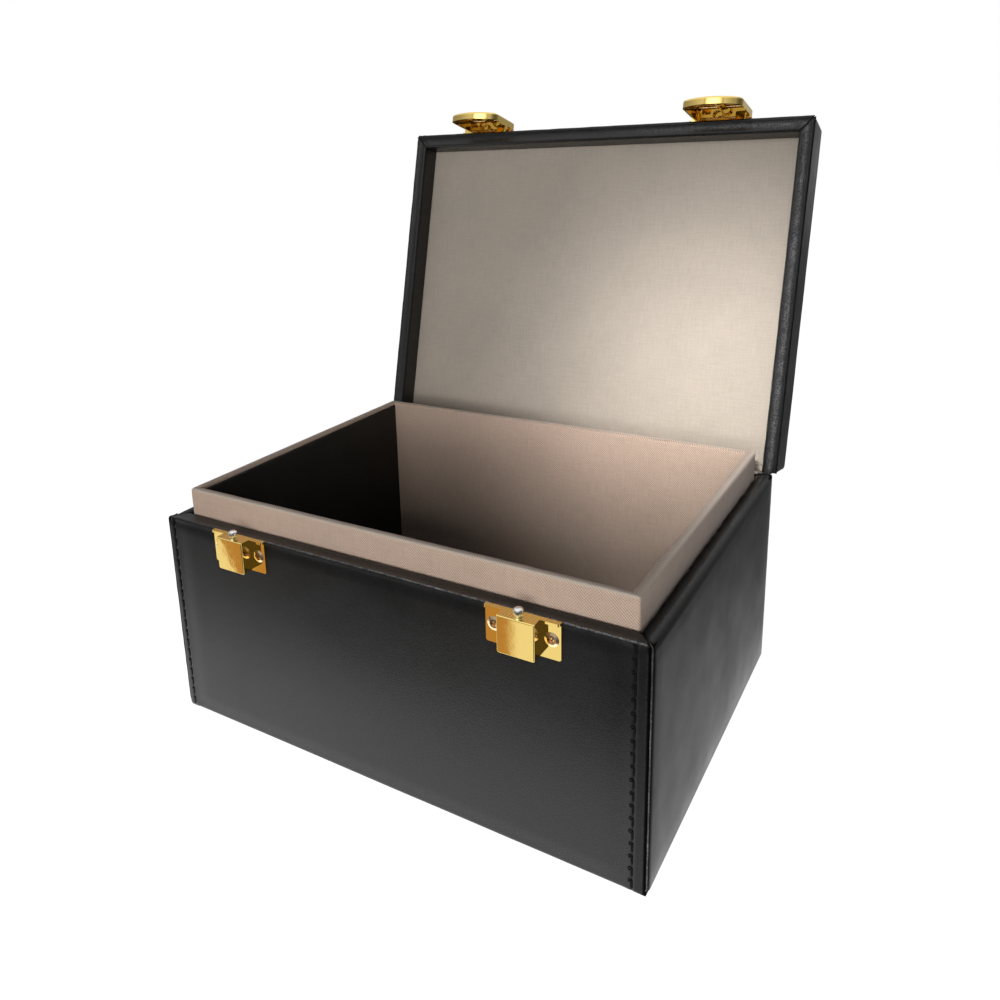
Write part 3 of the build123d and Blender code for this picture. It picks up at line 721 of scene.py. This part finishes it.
# ------------------------------------------------------------------ liner
def rloop(x0, x1, y0, y1, radii, nx, ny, na=6):
    """Points round a rectangle with its own radius at each corner: front-left, front-right, rear-right, rear-left."""
    fl, fr, rr, rl = radii
    out = []

    def side(p, q, n):
        for i in range(n):
            out.append((p[0] + (q[0] - p[0]) * i / n, p[1] + (q[1] - p[1]) * i / n))

    def corner(cx, cy, r, a0):
        for i in range(na):
            a = math.radians(a0 + 90 * i / na)
            out.append((cx + r * math.cos(a), cy + r * math.sin(a)))

    corner(x0 + fl, y0 + fl, fl, 180)
    side((x0 + fl, y0), (x1 - fr, y0), nx)
    corner(x1 - fr, y0 + fr, fr, 270)
    side((x1, y0 + fr), (x1, y1 - rr), ny)
    corner(x1 - rr, y1 - rr, rr, 0)
    side((x1 - rr, y1), (x0 + rl, y1), nx)
    corner(x0 + rl, y1 - rl, rl, 90)
    side((x0, y1 - rl), (x0, y0 + fl), ny)
    return out


def ring(name, prof, rect, radii, disp, material, nx=110, ny=80, lid=False, flip=False, pale=None, **kw):
    """A wrap round a rectangle. prof is a list of (d inward, z)."""
    prof = resample(prof, 1.6)
    nrm = normals2(prof)
    x0, x1, y0, y1 = rect
    base = rloop(x0, x1, y0, y1, radii, nx, ny)
    m = len(base)
    cum = [0.0]
    for i in range(1, m + 1):
        cum.append(cum[-1] + math.dist(base[i % m], base[i - 1]))
    cx, cy = (x0 + x1) / 2, (y0 + y1) / 2
    verts, uv, wear_and_highlight, run = [], [], [], 0.0
    for i, (d, z) in enumerate(prof):
        if i:
            run += math.dist(prof[i], prof[i - 1])
        rr = [max(0.06, r - d) for r in radii]
        lp = rloop(x0 + d, x1 - d, y0 + d, y1 - d, rr, nx, ny)
        for j in range(m + 1):
            x, y = lp[j % m]
            p, q = lp[(j - 1) % m], lp[(j + 1) % m]
            tx, ty = q[0] - p[0], q[1] - p[1]
            l = math.hypot(tx, ty) or 1.0
            ox, oy = ty / l, -tx / l            # outward in plan
            h = disp(x, y, d, z, cum[j])
            # normals2 gives outward as (-1, 0) in (d, z) on the outer face
            verts.append((x - ox * nrm[i][0] * h, y - oy * nrm[i][0] * h, z + nrm[i][1] * h))
            uv.append((cum[j], run))
            wear_and_highlight.append(pale(d, z, y) if pale else 0.0)
    return make(name, verts, grid_faces(len(prof), m + 1, flip=flip), material, uv=uv, lid=lid, wear_and_highlight=wear_and_highlight, **kw)


def liner_disp(x, y, d, z, s):
    top = smooth(LINER_TOP - 3.5, LINER_TOP, z)
    h = 0.07 * nz(x / 16, y / 16, 0, 61) * top + (0.07 - 0.03 * top) * nz(x / 5, y / 5, z / 5, 62)
    if d < 0.3:
        h += 0.10 * nz(x / 22, y / 22, z / 9, 63)
    return h


lp = [(0.0, 86.0), (0.0, LINER_TOP - 1.25)] + arc(1.25, LINER_TOP - 1.25, 1.25, 180, 90, 6)[1:]
lp += [(WALL - 1.0, LINER_TOP)] + arc(WALL - 1.0, LINER_TOP - 1.0, 1.0, 90, 0, 6)[1:]
lp += [(WALL, LINER_TOP - 3.2)]
liner_wrap = ring("liner_cloth_wrap", lp, (-LIX, LIX, LIF, LIR), (2.1, 1.1, 1.6, 1.8), liner_disp, M_LINEN,
                  body="box", slot="shield_cloth", thick=0.45,
                  # painted highlight: a pale cream line along the top outer edge of the liner cloth
                  pale=lambda d, z, y: 0.62 * bell(z - LINER_TOP + 0.15, 0.55) * bell(d - 0.8, 0.8),
                  replaces=["liner_front_cloth", "liner_left_cloth", "liner_right_cloth", "liner_rear_cloth"])


def panel(name, place, w, z0, z1, disp, material, replaces=(), slot="lining_black", thick=0.4, r=0.7, body="box"):
    """Upright inner panel with a soft top edge; place(t, out, z), out is into the box."""
    ts = stations(-w / 2, w / 2, 3.0)
    zs = [z0 + (z1 - z0) * i / 34 for i in range(33)] + [z1 - 1.5, z1 - 0.9, z1 - 0.5, z1 - 0.25, z1 - 0.08, z1]
    zs = sorted(set(zs))
    verts, uv = [], []
    for z in zs:
        for t in ts:
            e = z1 - z
            h = disp(t, z) - curl(e, r) * 0.6
            verts.append(place(t, h, z))
            uv.append((t, z))
    o = make(name, verts, grid_faces(len(zs), len(ts)), material, uv=uv, body=body, slot=slot,
             replaces=replaces, thick=thick)
    return o


def lining_disp(seed, amp=1.0):
    def f(t, z):
        h = 0.10 + 0.09 * nz(t / 26, z / 22, 0, seed) + 0.03 * nz(t / 7, z / 7, 0, seed + 1)
        # faint puckers where the sheet wasn't smoothed down
        n = nz(t / 9 + 0.6 * nz(t / 20, z / 20, 0, seed + 3), z / 5, 0, seed + 2)
        h += amp * 0.10 * max(0.0, n - 0.25)
        return h
    return f


zl0, zl1 = 7.8, LINER_TOP - 1.7
panel("lining_left", lambda t, h, z: (-INX + h, -t + (INF + INR) / 2, z), INR - INF, zl0, zl1, lining_disp(71), M_LINING,
      ["left_lining_panel"])
panel("lining_right", lambda t, h, z: (INX - h, t + (INF + INR) / 2, z), INR - INF, zl0, zl1, lining_disp(75), M_LINING,
      ["right_lining_panel"])
panel("lining_front", lambda t, h, z: (-t, INF + h, z), 2 * INX, zl0, zl1, lining_disp(79), M_LINING,
      ["front_lining_panel"])
rear_cloth = panel("liner_rear_inner_cloth", lambda t, h, z: (t, INR - h, z), 2 * INX, zl0, LINER_TOP - 0.9,
                   lining_disp(83, 0.4), M_LINEN, slot="shield_cloth", r=0.5)

# floor lining with its edges turned up a little at the walls
xs = stations(-INX + 0.15, INX - 0.15, 4.0)
ys = stations(INF + 0.15, INR - 0.15, 4.0)
verts, uv = [], []
for y in ys:
    for x in xs:
        e = min(x + INX, INX - x, y - INF, INR - y)
        verts.append((x, y, 7.8 + 0.12 + 0.5 * (1 - smooth(0.1, 2.2, e)) + 0.10 * nz(x / 30, y / 30, 0, 87)
                      + 0.03 * nz(x / 7, y / 7, 0, 88)))
        uv.append((x, y))
floor_lining = make("lining_floor", verts, grid_faces(len(ys), len(xs)), M_LINING, uv=uv, body="box",
                    slot="lining_black", replaces=["floor_lining"], thick=0.5)

# ------------------------------------------------------------------ lid (drawn closed, then opened)
def rim_profile(w, rin=1.1, rout=0.75):
    """(d inward from the outer face, h above the rim plane), from the recess floor over the rim to the outer edge."""
    p = [(w, 11.6), (w, rin + 0.1)]
    p += arc(w - rin, rin, rin, 0, -90, 6)[1:]
    p += [(rout + 0.4, 0.0)]
    p += arc(rout + 0.25, rout, rout, -90, -180, 6)[1:]
    return p


def rim(name, place, w, lo0, lo1, hi0, hi1, seed, replaces, rear_open=None, rub_highlight=None):
    prof = []
    for p in resample(rim_profile(w), 0.8):
        prof.append(p)
    nrm = [(-a, -b) for a, b in normals2(prof)]
    nrm = [(a, b) for a, b in nrm]
    base = stations(lo0, hi0, 1.6, fine_ends=(0.0, 0.08, 0.2, 0.36, 0.55, 0.8, 1.1, 1.6, 2.3, 3.2, 4.2, 5.4, 7.0))
    us = [(t - lo0) / (hi0 - lo0) for t in base]
    verts, uv, painted_shade, wear_and_highlight, run = [], [], [], [], 0.0
    for i, (d, h) in enumerate(prof):
        if i:
            run += math.dist(prof[i], prof[i - 1])
        f = min(1.0, max(0.0, d / w))
        lo, hi = lo0 + (lo1 - lo0) * f, hi0 + (hi1 - hi0) * f
        for u, t0 in zip(us, base):
            t = lo + (hi - lo) * u
            el, eh = t - lo, hi - t
            if rear_open == "lo":
                e = eh
            elif rear_open == "hi":
                e = el
            else:
                e = min(el, eh)
            on = 1 - smooth(0.4, 2.2, h)               # only where the profile lies on the rim
            crown = on * (0.78 * math.sin(math.pi * min(1, max(0, d / w))) ** 1.0 - 0.25 * (1 - smooth(0.0, 1.6, d)))
            n = on * (0.10 * nz(t0 / 9, d / 4, 0, seed) + 0.05 * nz(t0 / 3, d / 2, 0, seed + 1))
            k = bell(e, 5.0) * on
            n += k * (0.22 * nz(t0 / 2.2, d / 1.8, 0, seed + 2) + 0.12 * nz(t0 / 1.1, d / 1.1, 0, seed + 3))
            q = crown + n - curl(e, 0.6) * 0.9
            if rear_open is None:
                # a second fold beside each mitre, where the leather was gathered
                q -= on * 0.32 * bell(e - 2.6 - 0.18 * (w - d), 0.32)
            q += (1 - on) * 0.05 * nz(t0 / 8, h / 4, 0, seed + 4)
            verts.append(place(t, d + nrm[i][0] * q, RIM_Z + h + nrm[i][1] * q))
            uv.append((t0, run))
            # partly worn, partly painted highlight along the middle of the crown, set per side by the last argument
            wear_and_highlight.append(on * bell(d - 0.52 * w, 1.5) * rub_highlight(t0) * (0.75 + 0.5 * nz(t0 / 5, 0, 0, seed + 6)) if rub_highlight else 0.0)
            # painted shade: darker at the outer edge crease, at the mitre ends and along the fold beside each mitre
            painted_shade.append(min(1.0, 0.9 * bell(d - 0.05, 0.42) + 0.7 * on * bell(e, 0.35)
                            + (0.45 * on * bell(e - 2.6 - 0.18 * (w - d), 0.32) if rear_open is None else 0.0)))
    o = make(name, verts, grid_faces(len(prof), len(base), flip=True), M_RIM, uv=uv, body="lid", lid=True,
             slot="leatherette_black", replaces=replaces, thick=0.5, painted_shade=painted_shade, wear_and_highlight=wear_and_highlight)
    return o


# painted highlight strength per rim: rising to the right on the front, full on the right, faint on the left
rim("lid_rim_front", lambda t, d, z: (t, LY0 + d, z), 6.5, -LW - 0.02, -RCX - 0.2, LW + 0.02, RCX + 0.2, 101,
    ["lid_front_skin"], rub_highlight=lambda t: 0.30 * smooth(-10, 95, t))
rim("lid_rim_right", lambda t, d, z: (LW - d, t, z), 5.9, LY0 - 0.02, RCF - 0.2, LY1 - 0.2, LY1 - 0.2, 111,
    ["lid_right_skin"], rear_open="hi", rub_highlight=lambda t: 0.30)
rim("lid_rim_left", lambda t, d, z: (-LW + d, -t, z), 5.9, -LY1 + 0.2, -LY1 + 0.2, -LY0 + 0.02, -RCF + 0.2, 121,
    ["lid_left_skin"], rear_open="lo", rub_highlight=lambda t: 0.04)


# Outer cover: the four sides and the padded top in one wrap
def cover():
    x0, x1, y0, y1 = -LW, LW, LY0, LY1
    prof = [(0.9, RIM_Z + 0.75), (0.35, RIM_Z + 0.7), (0.08, RIM_Z + 0.95), (0.0, RIM_Z + 1.4)]
    prof += [(0.0, LID_Z1 - 1.5)]
    prof += arc(1.5, LID_Z1 - 1.5, 1.5, 180, 90, 7)[1:]
    prof = resample(prof, 1.5)
    n_side = len(prof)
    half = (y1 - y0) / 2
    d = 1.5
    while d < half - 0.4:
        d += 1.0 + 0.06 * (d - 1.5)
        prof.append((min(d, half - 0.35), LID_Z1))
    nrm = normals2(prof)
    nx, ny, na = 110, 84, 6
    verts, uv = [], []
    m = None
    for i, (d, z) in enumerate(prof):
        zz = min(1.0, max(0.0, (z - RIM_Z) / 20))
        rc = 1.0 + 1.4 * zz
        r = max(0.05, rc - d)
        lp = rloop(x0 + d, x1 - d, y0 + d, y1 - d, (r,) * 4, nx, ny, na)
        m = len(lp)
        for j in range(m):
            x, y = lp[j]
            p, q = lp[(j - 1) % m], lp[(j + 1) % m]
            tx, ty = q[0] - p[0], q[1] - p[1]
            l = math.hypot(tx, ty) or 1.0
            ox, oy = ty / l, -tx / l
            if i < n_side:
                h = 0.10 * smooth(RIM_Z + 1, RIM_Z + 8, z) * (0.5 + nz(x / 24, y / 24, z / 9, 131))
                h += 0.03 * nz(x / 7, y / 7, z / 5, 132)
                if y < LY0 + 0.1 and abs(x) < LW - 1.5:
                    h += 0.30 * smooth(RIM_Z + 0.8, RIM_Z + 4, z) * smooth(0, 8, LW - abs(x)) * smooth(0, 4, LID_Z1 - z)
                if z < RIM_Z + 1.2:
                    h *= 0.3
            else:
                ex, ey = min(x - x0, x1 - x), min(y - y0, y1 - y)
                h = 0.55 * smooth(1.4, 26, ex) * smooth(1.4, 26, ey) + 0.14 * nz(x / 34, y / 34, 0, 133) + 0.04 * nz(x / 9, y / 9, 0, 134)
            verts.append((x - ox * nrm[i][0] * h, y - oy * nrm[i][0] * h, z + nrm[i][1] * h))
            uv.append((x, y) if i >= n_side else (x + y, z))
    faces = grid_faces(len(prof), m, wrap=True)
    # close the slit left in the middle
    last = (len(prof) - 1) * m
    faces.append(tuple(last + j for j in range(m)))
    o = make("lid_cover_leather", verts, faces, M_LEATHER, uv=uv, body="lid", lid=True,
             slot="leatherette_black", replaces=["lid_top_skin", "lid_rear_skin"], thick=0.5)
    return o


lid_cover = cover()

# Linen panel in the recess: cloth over a board, its edges turned back
xs = stations(-RCX + 0.12, RCX - 0.12, 2.2)
ys = stations(RCF + 0.12, RCR - 0.1, 2.2)
verts, uv = [], []
for y in ys:
    for x in xs:
        e = min(x + RCX, RCX - x, y - RCF)
        z = REC_Z + 0.04 + 0.75 * curl(min(e, 1.3), 1.3) + 0.08 * nz(x / 30, y / 30, 0, 141) + 0.02 * nz(x / 6, y / 6, 0, 142)
        verts.append((x, y, z))
        uv.append((x, y))
lid_panel = make("lid_panel_linen", verts, grid_faces(len(ys), len(xs), flip=True), M_LINEN_LID_LIGHT_MATCHED, uv=uv, body="lid",
                 lid=True, slot="shield_cloth", replaces=["lid_panel_cloth"], thick=0.4)


# ------------------------------------------------------------------ the two flexible hinges
def strip(name, prof, x_of, xs, material, thick, disp, slot, replaces, flip=False):
    """prof: (y, z) points at rest. x_of(i, n, x) lets the width change along the strip."""
    prof = resample(prof, 0.8)
    nrm = normals2(prof)
    verts, uv, run = [], [], 0.0
    for i, (y, z) in enumerate(prof):
        if i:
            run += math.dist(prof[i], prof[i - 1])
        for x in xs:
            h = disp(x, y, z)
            verts.append((x_of(y, z, x), y + nrm[i][0] * h, z + nrm[i][1] * h))
            uv.append((x, run))
    o = make(name, verts, grid_faces(len(prof), len(xs), flip=flip), material, uv=uv, slot=slot, replaces=replaces)
    return o, run


def lidp(y, z):
    q = opened((0, y, z))
    return (q[1], q[2])


# Inner cloth hinge: recess floor, rear recess wall, rear rim, gap, rear ledge
inner = [lidp(RCR + 0.05, REC_Z + 0.2), lidp(RCR + 0.05, RIM_Z + 1.5), lidp(RCR + 0.3, RIM_Z + 0.75),
         lidp(RCR + 0.95, RIM_Z + 0.42), lidp(LY1 - 1.0, RIM_Z + 0.42), lidp(LY1 - 0.3, RIM_Z + 0.6),
         lidp(LY1 + 0.15, RIM_Z + 1.1)]
inner += [(87.2, 93.35), (86.1, 93.3), (85.3, 93.65), (84.85, 94.3), (84.3, 94.95), (83.5, 95.3), (82.4, 95.45), (LIR + 0.4, 95.45)]
xs_in = stations(-103.9, 103.9, 2.4)
cloth_hinge, run_in = strip("cloth_hinge", inner, lambda y, z, x: x * (1.0 if y > 86 else 0.997), xs_in, M_LINEN_LID_LIGHT_MATCHED, None,
                            lambda x, y, z: 0.05 * nz(x / 9, z / 4, y / 4, 151) + 0.12 * smooth(88.4, 87.0, y) * nz(x / 14, 2, 0, 152),
                            "shield_cloth", ["inner_hinge_box_leaf", "inner_hinge_lid_leaf"], flip=True)
md = cloth_hinge.modifiers.new("thickness", "SOLIDIFY")
md.thickness, md.offset = 0.35 * MM, -1.0
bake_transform(cloth_hinge)

# Outer leatherette hinge: up the rear of the box, over the fold, up the rear of the lid
outer = [(85.0, 56.0), (85.02, 57.0), (85.02, 91.0), (84.98, 91.9), (85.0, 92.35), (85.35, 92.62), (85.9, 92.6)]
outer += [lidp(84.55, 94.6), lidp(84.1, 97.2), lidp(83.78, 99.4), lidp(83.75, 111.4), lidp(83.7, 112.0)]
xs_out = stations(-106.5, 106.5, 2.4)
hinge_strip, run_out = strip("hinge_strip_leather", outer, lambda y, z, x: x, xs_out, M_LEATHER, None,
                             lambda x, y, z: 0.05 * nz(x / 12, z / 9, y / 9, 161), "leatherette_black",
                             ["hinge_strip_box_leaf", "hinge_strip_lid_leaf"], flip=False)
md = hinge_strip.modifiers.new("thickness", "SOLIDIFY")
md.thickness, md.offset = 0.6 * MM, -1.0
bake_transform(hinge_strip)

# ------------------------------------------------------------------ materials of the CAD nodes that show
for name, o in NODES.items():
    if name.endswith(("_keeper", "catch_flap", "catch_base")):
        m = M_GOLD
    elif name.endswith("_stud"):
        m = M_SILVER
    elif name in ("keeper_screws", "catch_screws", "clip_rivets") or name.endswith("_pin"):
        m = M_SCREW
    elif name.endswith(("spring", "clip")):
        m = M_SPRING
    elif name == "lid_foam":
        m = M_FOAM
    elif name == "underside_cover":
        m = M_PAPER
    elif name.startswith("liner_") or name in ("floor_board", "lid_panel_board"):
        m = M_GREY
    elif name.endswith(("_board", "_rail")):
        m = M_FIBRE
    elif "cloth" in name or name.startswith("inner_hinge"):
        m = M_LINEN
    elif "lining" in name:
        m = M_LINING
    else:
        m = M_LEATHER
    o.data.materials.clear()
    o.data.materials.append(m)
    if m in (M_GOLD, M_SILVER, M_SCREW, M_SPRING):
        bv = o.modifiers.new("edge", "BEVEL")
        bv.width = 0.10 * MM if m is M_GOLD else 0.05 * MM
        bv.segments = 2
        bv.limit_method = "ANGLE"
        bv.angle_limit = math.radians(35)
        bv.harden_normals = False

# ------------------------------------------------------------------ floor, light, camera
sc = bpy.context.scene
me = bpy.data.meshes.new("floor")
S = 6.0
me.from_pydata([(-S, -S, 0), (S, -S, 0), (S, S, 0), (-S, S, 0)], [], [(0, 1, 2, 3)])
floor = bpy.data.objects.new("floor", me)
sc.collection.objects.link(floor)
mf, tf, bf = mat("floor_pale")
bf.inputs["Base Color"].default_value = (0.80, 0.80, 0.80, 1)
bf.inputs["Roughness"].default_value = 0.9
bf.inputs["Specular IOR Level"].default_value = 0.1
bf.inputs["Emission Color"].default_value = (1, 1, 1, 1)
bf.inputs["Emission Strength"].default_value = 0.93
me.materials.append(mf)
floor.visible_diffuse = floor.visible_glossy = False


def table_light(x, y):
    """What the table gives back to the object at (x, y), in mm: bright close in front, dim to the right and far."""
    near = smooth(-180, -138, y)
    front = 0.09 + 1.45 * near
    col = [front, front, front]
    if y < -150:
        f = 1 - near
        left = smooth(0.8, -0.8, x + 190 - 1.48 * (y + 206))
        right = smooth(-3.5, 4.5, x - 1.4 - 0.537 * (y + 206))
        bright = max(left, right)
        warm = (0.50, 0.29, 0.12)
        patch = max(smooth(-262, -246, x) * smooth(-140, -156, x), smooth(-60, -44, x) * smooth(46, 30, x))
        patch *= smooth(-262, -246, y) * smooth(-186, -197, y)
        for k in range(3):
            far = (warm[k] * (1 - bright) + 0.95 * bright) * patch + 0.09 * (1 - patch)
            col[k] = col[k] * (1 - f) + far * f
    if y < -320:
        k0 = smooth(-420, -320, y)
        col = [0.2 * (1 - k0) + c * k0 for c in col]
    side = smooth(100, 125, x) * smooth(-110, -70, y)
    dist = max(0.0, x - 110) + 0.45 * max(0.0, y - 40)
    dim = 0.55 - 0.40 * smooth(0, 130, dist)
    col = [c * (1 - side) + dim * side for c in col]
    return col


def spaced(a, b, fine):
    out = set(round(a + (b - a) * i / 24, 3) for i in range(25))
    for lo, hi, st in fine:
        n = int((hi - lo) / st)
        out |= set(round(lo + (hi - lo) * i / n, 3) for i in range(n + 1))
    return sorted(out)


gx = spaced(-2500, 2500, [(-420, 420, 10), (-245, -175, 0.8), (-30, 20, 2), (96, 130, 3)])
gy = spaced(-2500, 2500, [(-460, 460, 10), (-190, -140, 3), (-245, -190, 0.9)])
tm = bpy.data.meshes.new("table_light")
tm.from_pydata([(x * MM, y * MM, -0.002) for y in gy for x in gx], [], grid_faces(len(gy), len(gx)))
ca = tm.attributes.new("glow", "FLOAT_COLOR", "POINT")
ca.data.foreach_set("color", np.asarray([(*table_light(x, y), 1.0) for y in gy for x in gx], dtype=np.float32).ravel())
table = bpy.data.objects.new("table_light", tm)
sc.collection.objects.link(table)
mt, tt, bt = mat("table_light")
bt.inputs["Base Color"].default_value = (0, 0, 0, 1)
bt.inputs["Specular IOR Level"].default_value = 0.0
bt.inputs["Emission Strength"].default_value = 1.0
ga = node(tt, "ShaderNodeAttribute", attribute_name="glow")
tt.links.new(ga.outputs["Color"], bt.inputs["Emission Color"])
tm.materials.append(mt)
table.visible_camera = table.visible_shadow = False

def card(name, centre, across, up, value):
    """A flat panel, soft at its edges, that only reflections see."""
    c, u, w = Vector(centre), Vector(across), Vector(up)
    n = 21
    verts, glow = [], []
    for j in range(n):
        for i in range(n):
            a, e = 2 * i / (n - 1) - 1, 2 * j / (n - 1) - 1
            verts.append(tuple(c + u * a + w * e))
            g = 0.48 + (value - 0.48) * smooth(1.0, 0.25, abs(a)) * smooth(1.0, 0.25, abs(e))
            glow.append((g, g, g, 1.0))
    cm = bpy.data.meshes.new(name)
    cm.from_pydata(verts, [], grid_faces(n, n))
    ga = cm.attributes.new("glow", "FLOAT_COLOR", "POINT")
    ga.data.foreach_set("color", np.asarray(glow, dtype=np.float32).ravel())
    o = bpy.data.objects.new(name, cm)
    sc.collection.objects.link(o)
    m, t, b = mat(name)
    b.inputs["Base Color"].default_value = (0, 0, 0, 1)
    b.inputs["Specular IOR Level"].default_value = 0.0
    b.inputs["Emission Strength"].default_value = 1.0
    at = node(t, "ShaderNodeAttribute", attribute_name="glow")
    t.links.new(at.outputs["Color"], b.inputs["Emission Color"])
    cm.materials.append(m)
    o.visible_camera = o.visible_diffuse = o.visible_shadow = False
    return o


card("panel_front", (-0.08, -1.1, 0.86), (0.55, 0, 0), (0, 0.18, 0.40), 2.6)

world = bpy.data.worlds.new("studio")
sc.world = world
world.use_nodes = True
wt = world.node_tree
for n in list(wt.nodes):
    wt.nodes.remove(n)
wo = wt.nodes.new("ShaderNodeOutputWorld")
mixs = wt.nodes.new("ShaderNodeMixShader")
lp_ = wt.nodes.new("ShaderNodeLightPath")
bg_cam, bg_env = wt.nodes.new("ShaderNodeBackground"), wt.nodes.new("ShaderNodeBackground")
bg_cam.inputs[0].default_value = (1, 1, 1, 1)
bg_cam.inputs[1].default_value = 1.0
wtc = wt.nodes.new("ShaderNodeTexCoord")
wsep = wt.nodes.new("ShaderNodeSeparateXYZ")
wt.links.new(wtc.outputs["Generated"], wsep.inputs[0])
def grey(*stops):
    return [(p, (v, v, v)) for p, v in stops]


el_r = ramp(wt, map_range(wt, wsep.outputs[2], -0.2, 1.0, 0.0, 1.0), grey((0.16, 0.42), (0.30, 0.38), (0.55, 0.15), (1.0, 0.10)))
el_g = ramp(wt, map_range(wt, wsep.outputs[2], -0.2, 1.0, 0.0, 1.0),
            grey((0.16, 0.42), (0.30, 0.40), (0.46, 0.45), (0.66, 1.0), (1.0, 1.1)))
el_r = mix_rgb(wt, lp_.outputs["Is Glossy Ray"], el_r, el_g)
fr_r = ramp(wt, map_range(wt, wsep.outputs[1], -1.0, 1.0, 0.0, 1.0), grey((0.0, 0.60), (0.45, 0.55), (0.75, 1.3), (1.0, 1.75)))
fr_g = ramp(wt, map_range(wt, wsep.outputs[1], -1.0, 1.0, 0.0, 1.0), grey((0.0, 1.2), (0.45, 0.95), (0.75, 1.0), (1.0, 1.2)))
fr_r = mix_rgb(wt, lp_.outputs["Is Glossy Ray"], fr_r, fr_g)
sd_r = ramp(wt, map_range(wt, wsep.outputs[0], -1.0, 1.0, 0.0, 1.0), grey((0.0, 0.8), (0.55, 1.0), (0.8, 0.5), (1.0, 0.25)))
env = mix_rgb(wt, 1.0, mix_rgb(wt, 1.0, el_r, fr_r, "MULTIPLY"), sd_r, "MULTIPLY")
wt.links.new(env, bg_env.inputs[0])
bg_env.inputs[1].default_value = 1.0
wt.links.new(lp_.outputs["Is Camera Ray"], mixs.inputs[0])
wt.links.new(bg_env.outputs[0], mixs.inputs[1])
wt.links.new(bg_cam.outputs[0], mixs.inputs[2])
wt.links.new(mixs.outputs[0], wo.inputs[0])


def area(name, loc, target, size, size_y, power, color=(1, 1, 1), glossy=True, spread=None):
    ld = bpy.data.lights.new(name, "AREA")
    ld.shape = "RECTANGLE"
    ld.size, ld.size_y, ld.energy, ld.color = size, size_y, power, color
    if spread:
        ld.spread = math.radians(spread)
    o = bpy.data.objects.new(name, ld)
    o.location = loc
    o.rotation_mode = "QUATERNION"
    o.rotation_quaternion = (Vector(target) - Vector(loc)).to_track_quat("-Z", "Y")
    o.visible_glossy = glossy
    sc.collection.objects.link(o)
    return o


area("key_front", (0.14, -1.2, 0.40), (0.0, 0.0, 0.12), 0.7, 0.5, 5.8, glossy=False)
area("soft_top", (-0.25, -0.35, 1.05), (0, 0, 0.1), 0.55, 0.4, 0.12)
pool = area("pool_lid", (0.10, -0.30, 0.40), (0.070, 0.105, 0.129), 0.08, 0.08, 0.076, glossy=False, spread=27)
fill = area("fill_low", (0.20, -0.55, 0.13), (0.0, 0.0, 0.11), 0.25, 0.12, 0.88, glossy=False)
pool.visible_camera = fill.visible_camera = False

cam_d = bpy.data.cameras.new("camera")
cam = bpy.data.objects.new("camera", cam_d)
sc.collection.objects.link(cam)
sc.camera = cam
cam_d.sensor_width, cam_d.sensor_fit = 36.0, "HORIZONTAL"
cam_d.lens = 31.285
cam_d.shift_x, cam_d.shift_y = 0.0603, -0.1232
cam_d.clip_start, cam_d.clip_end = 0.01, 50
az, el, roll = math.radians(32.75), math.radians(14.32), math.radians(-2.2)
back = Vector((math.sin(az) * math.cos(el), -math.cos(az) * math.cos(el), math.sin(el)))
xc = Vector((0, 0, 1)).cross(back).normalized()
yc = back.cross(xc)
X = math.cos(roll) * xc + math.sin(roll) * yc
Y = -math.sin(roll) * xc + math.cos(roll) * yc
R = Matrix((X, Y, back)).transposed()
cam.rotation_mode = "QUATERNION"
cam.rotation_quaternion = R.to_quaternion()
cam.location = Vector((186.309, -318.822, 244.673)) * MM
sc.view_settings.view_transform = "Standard"
sc.view_settings.look = "None"
sc.view_settings.exposure = 0.0
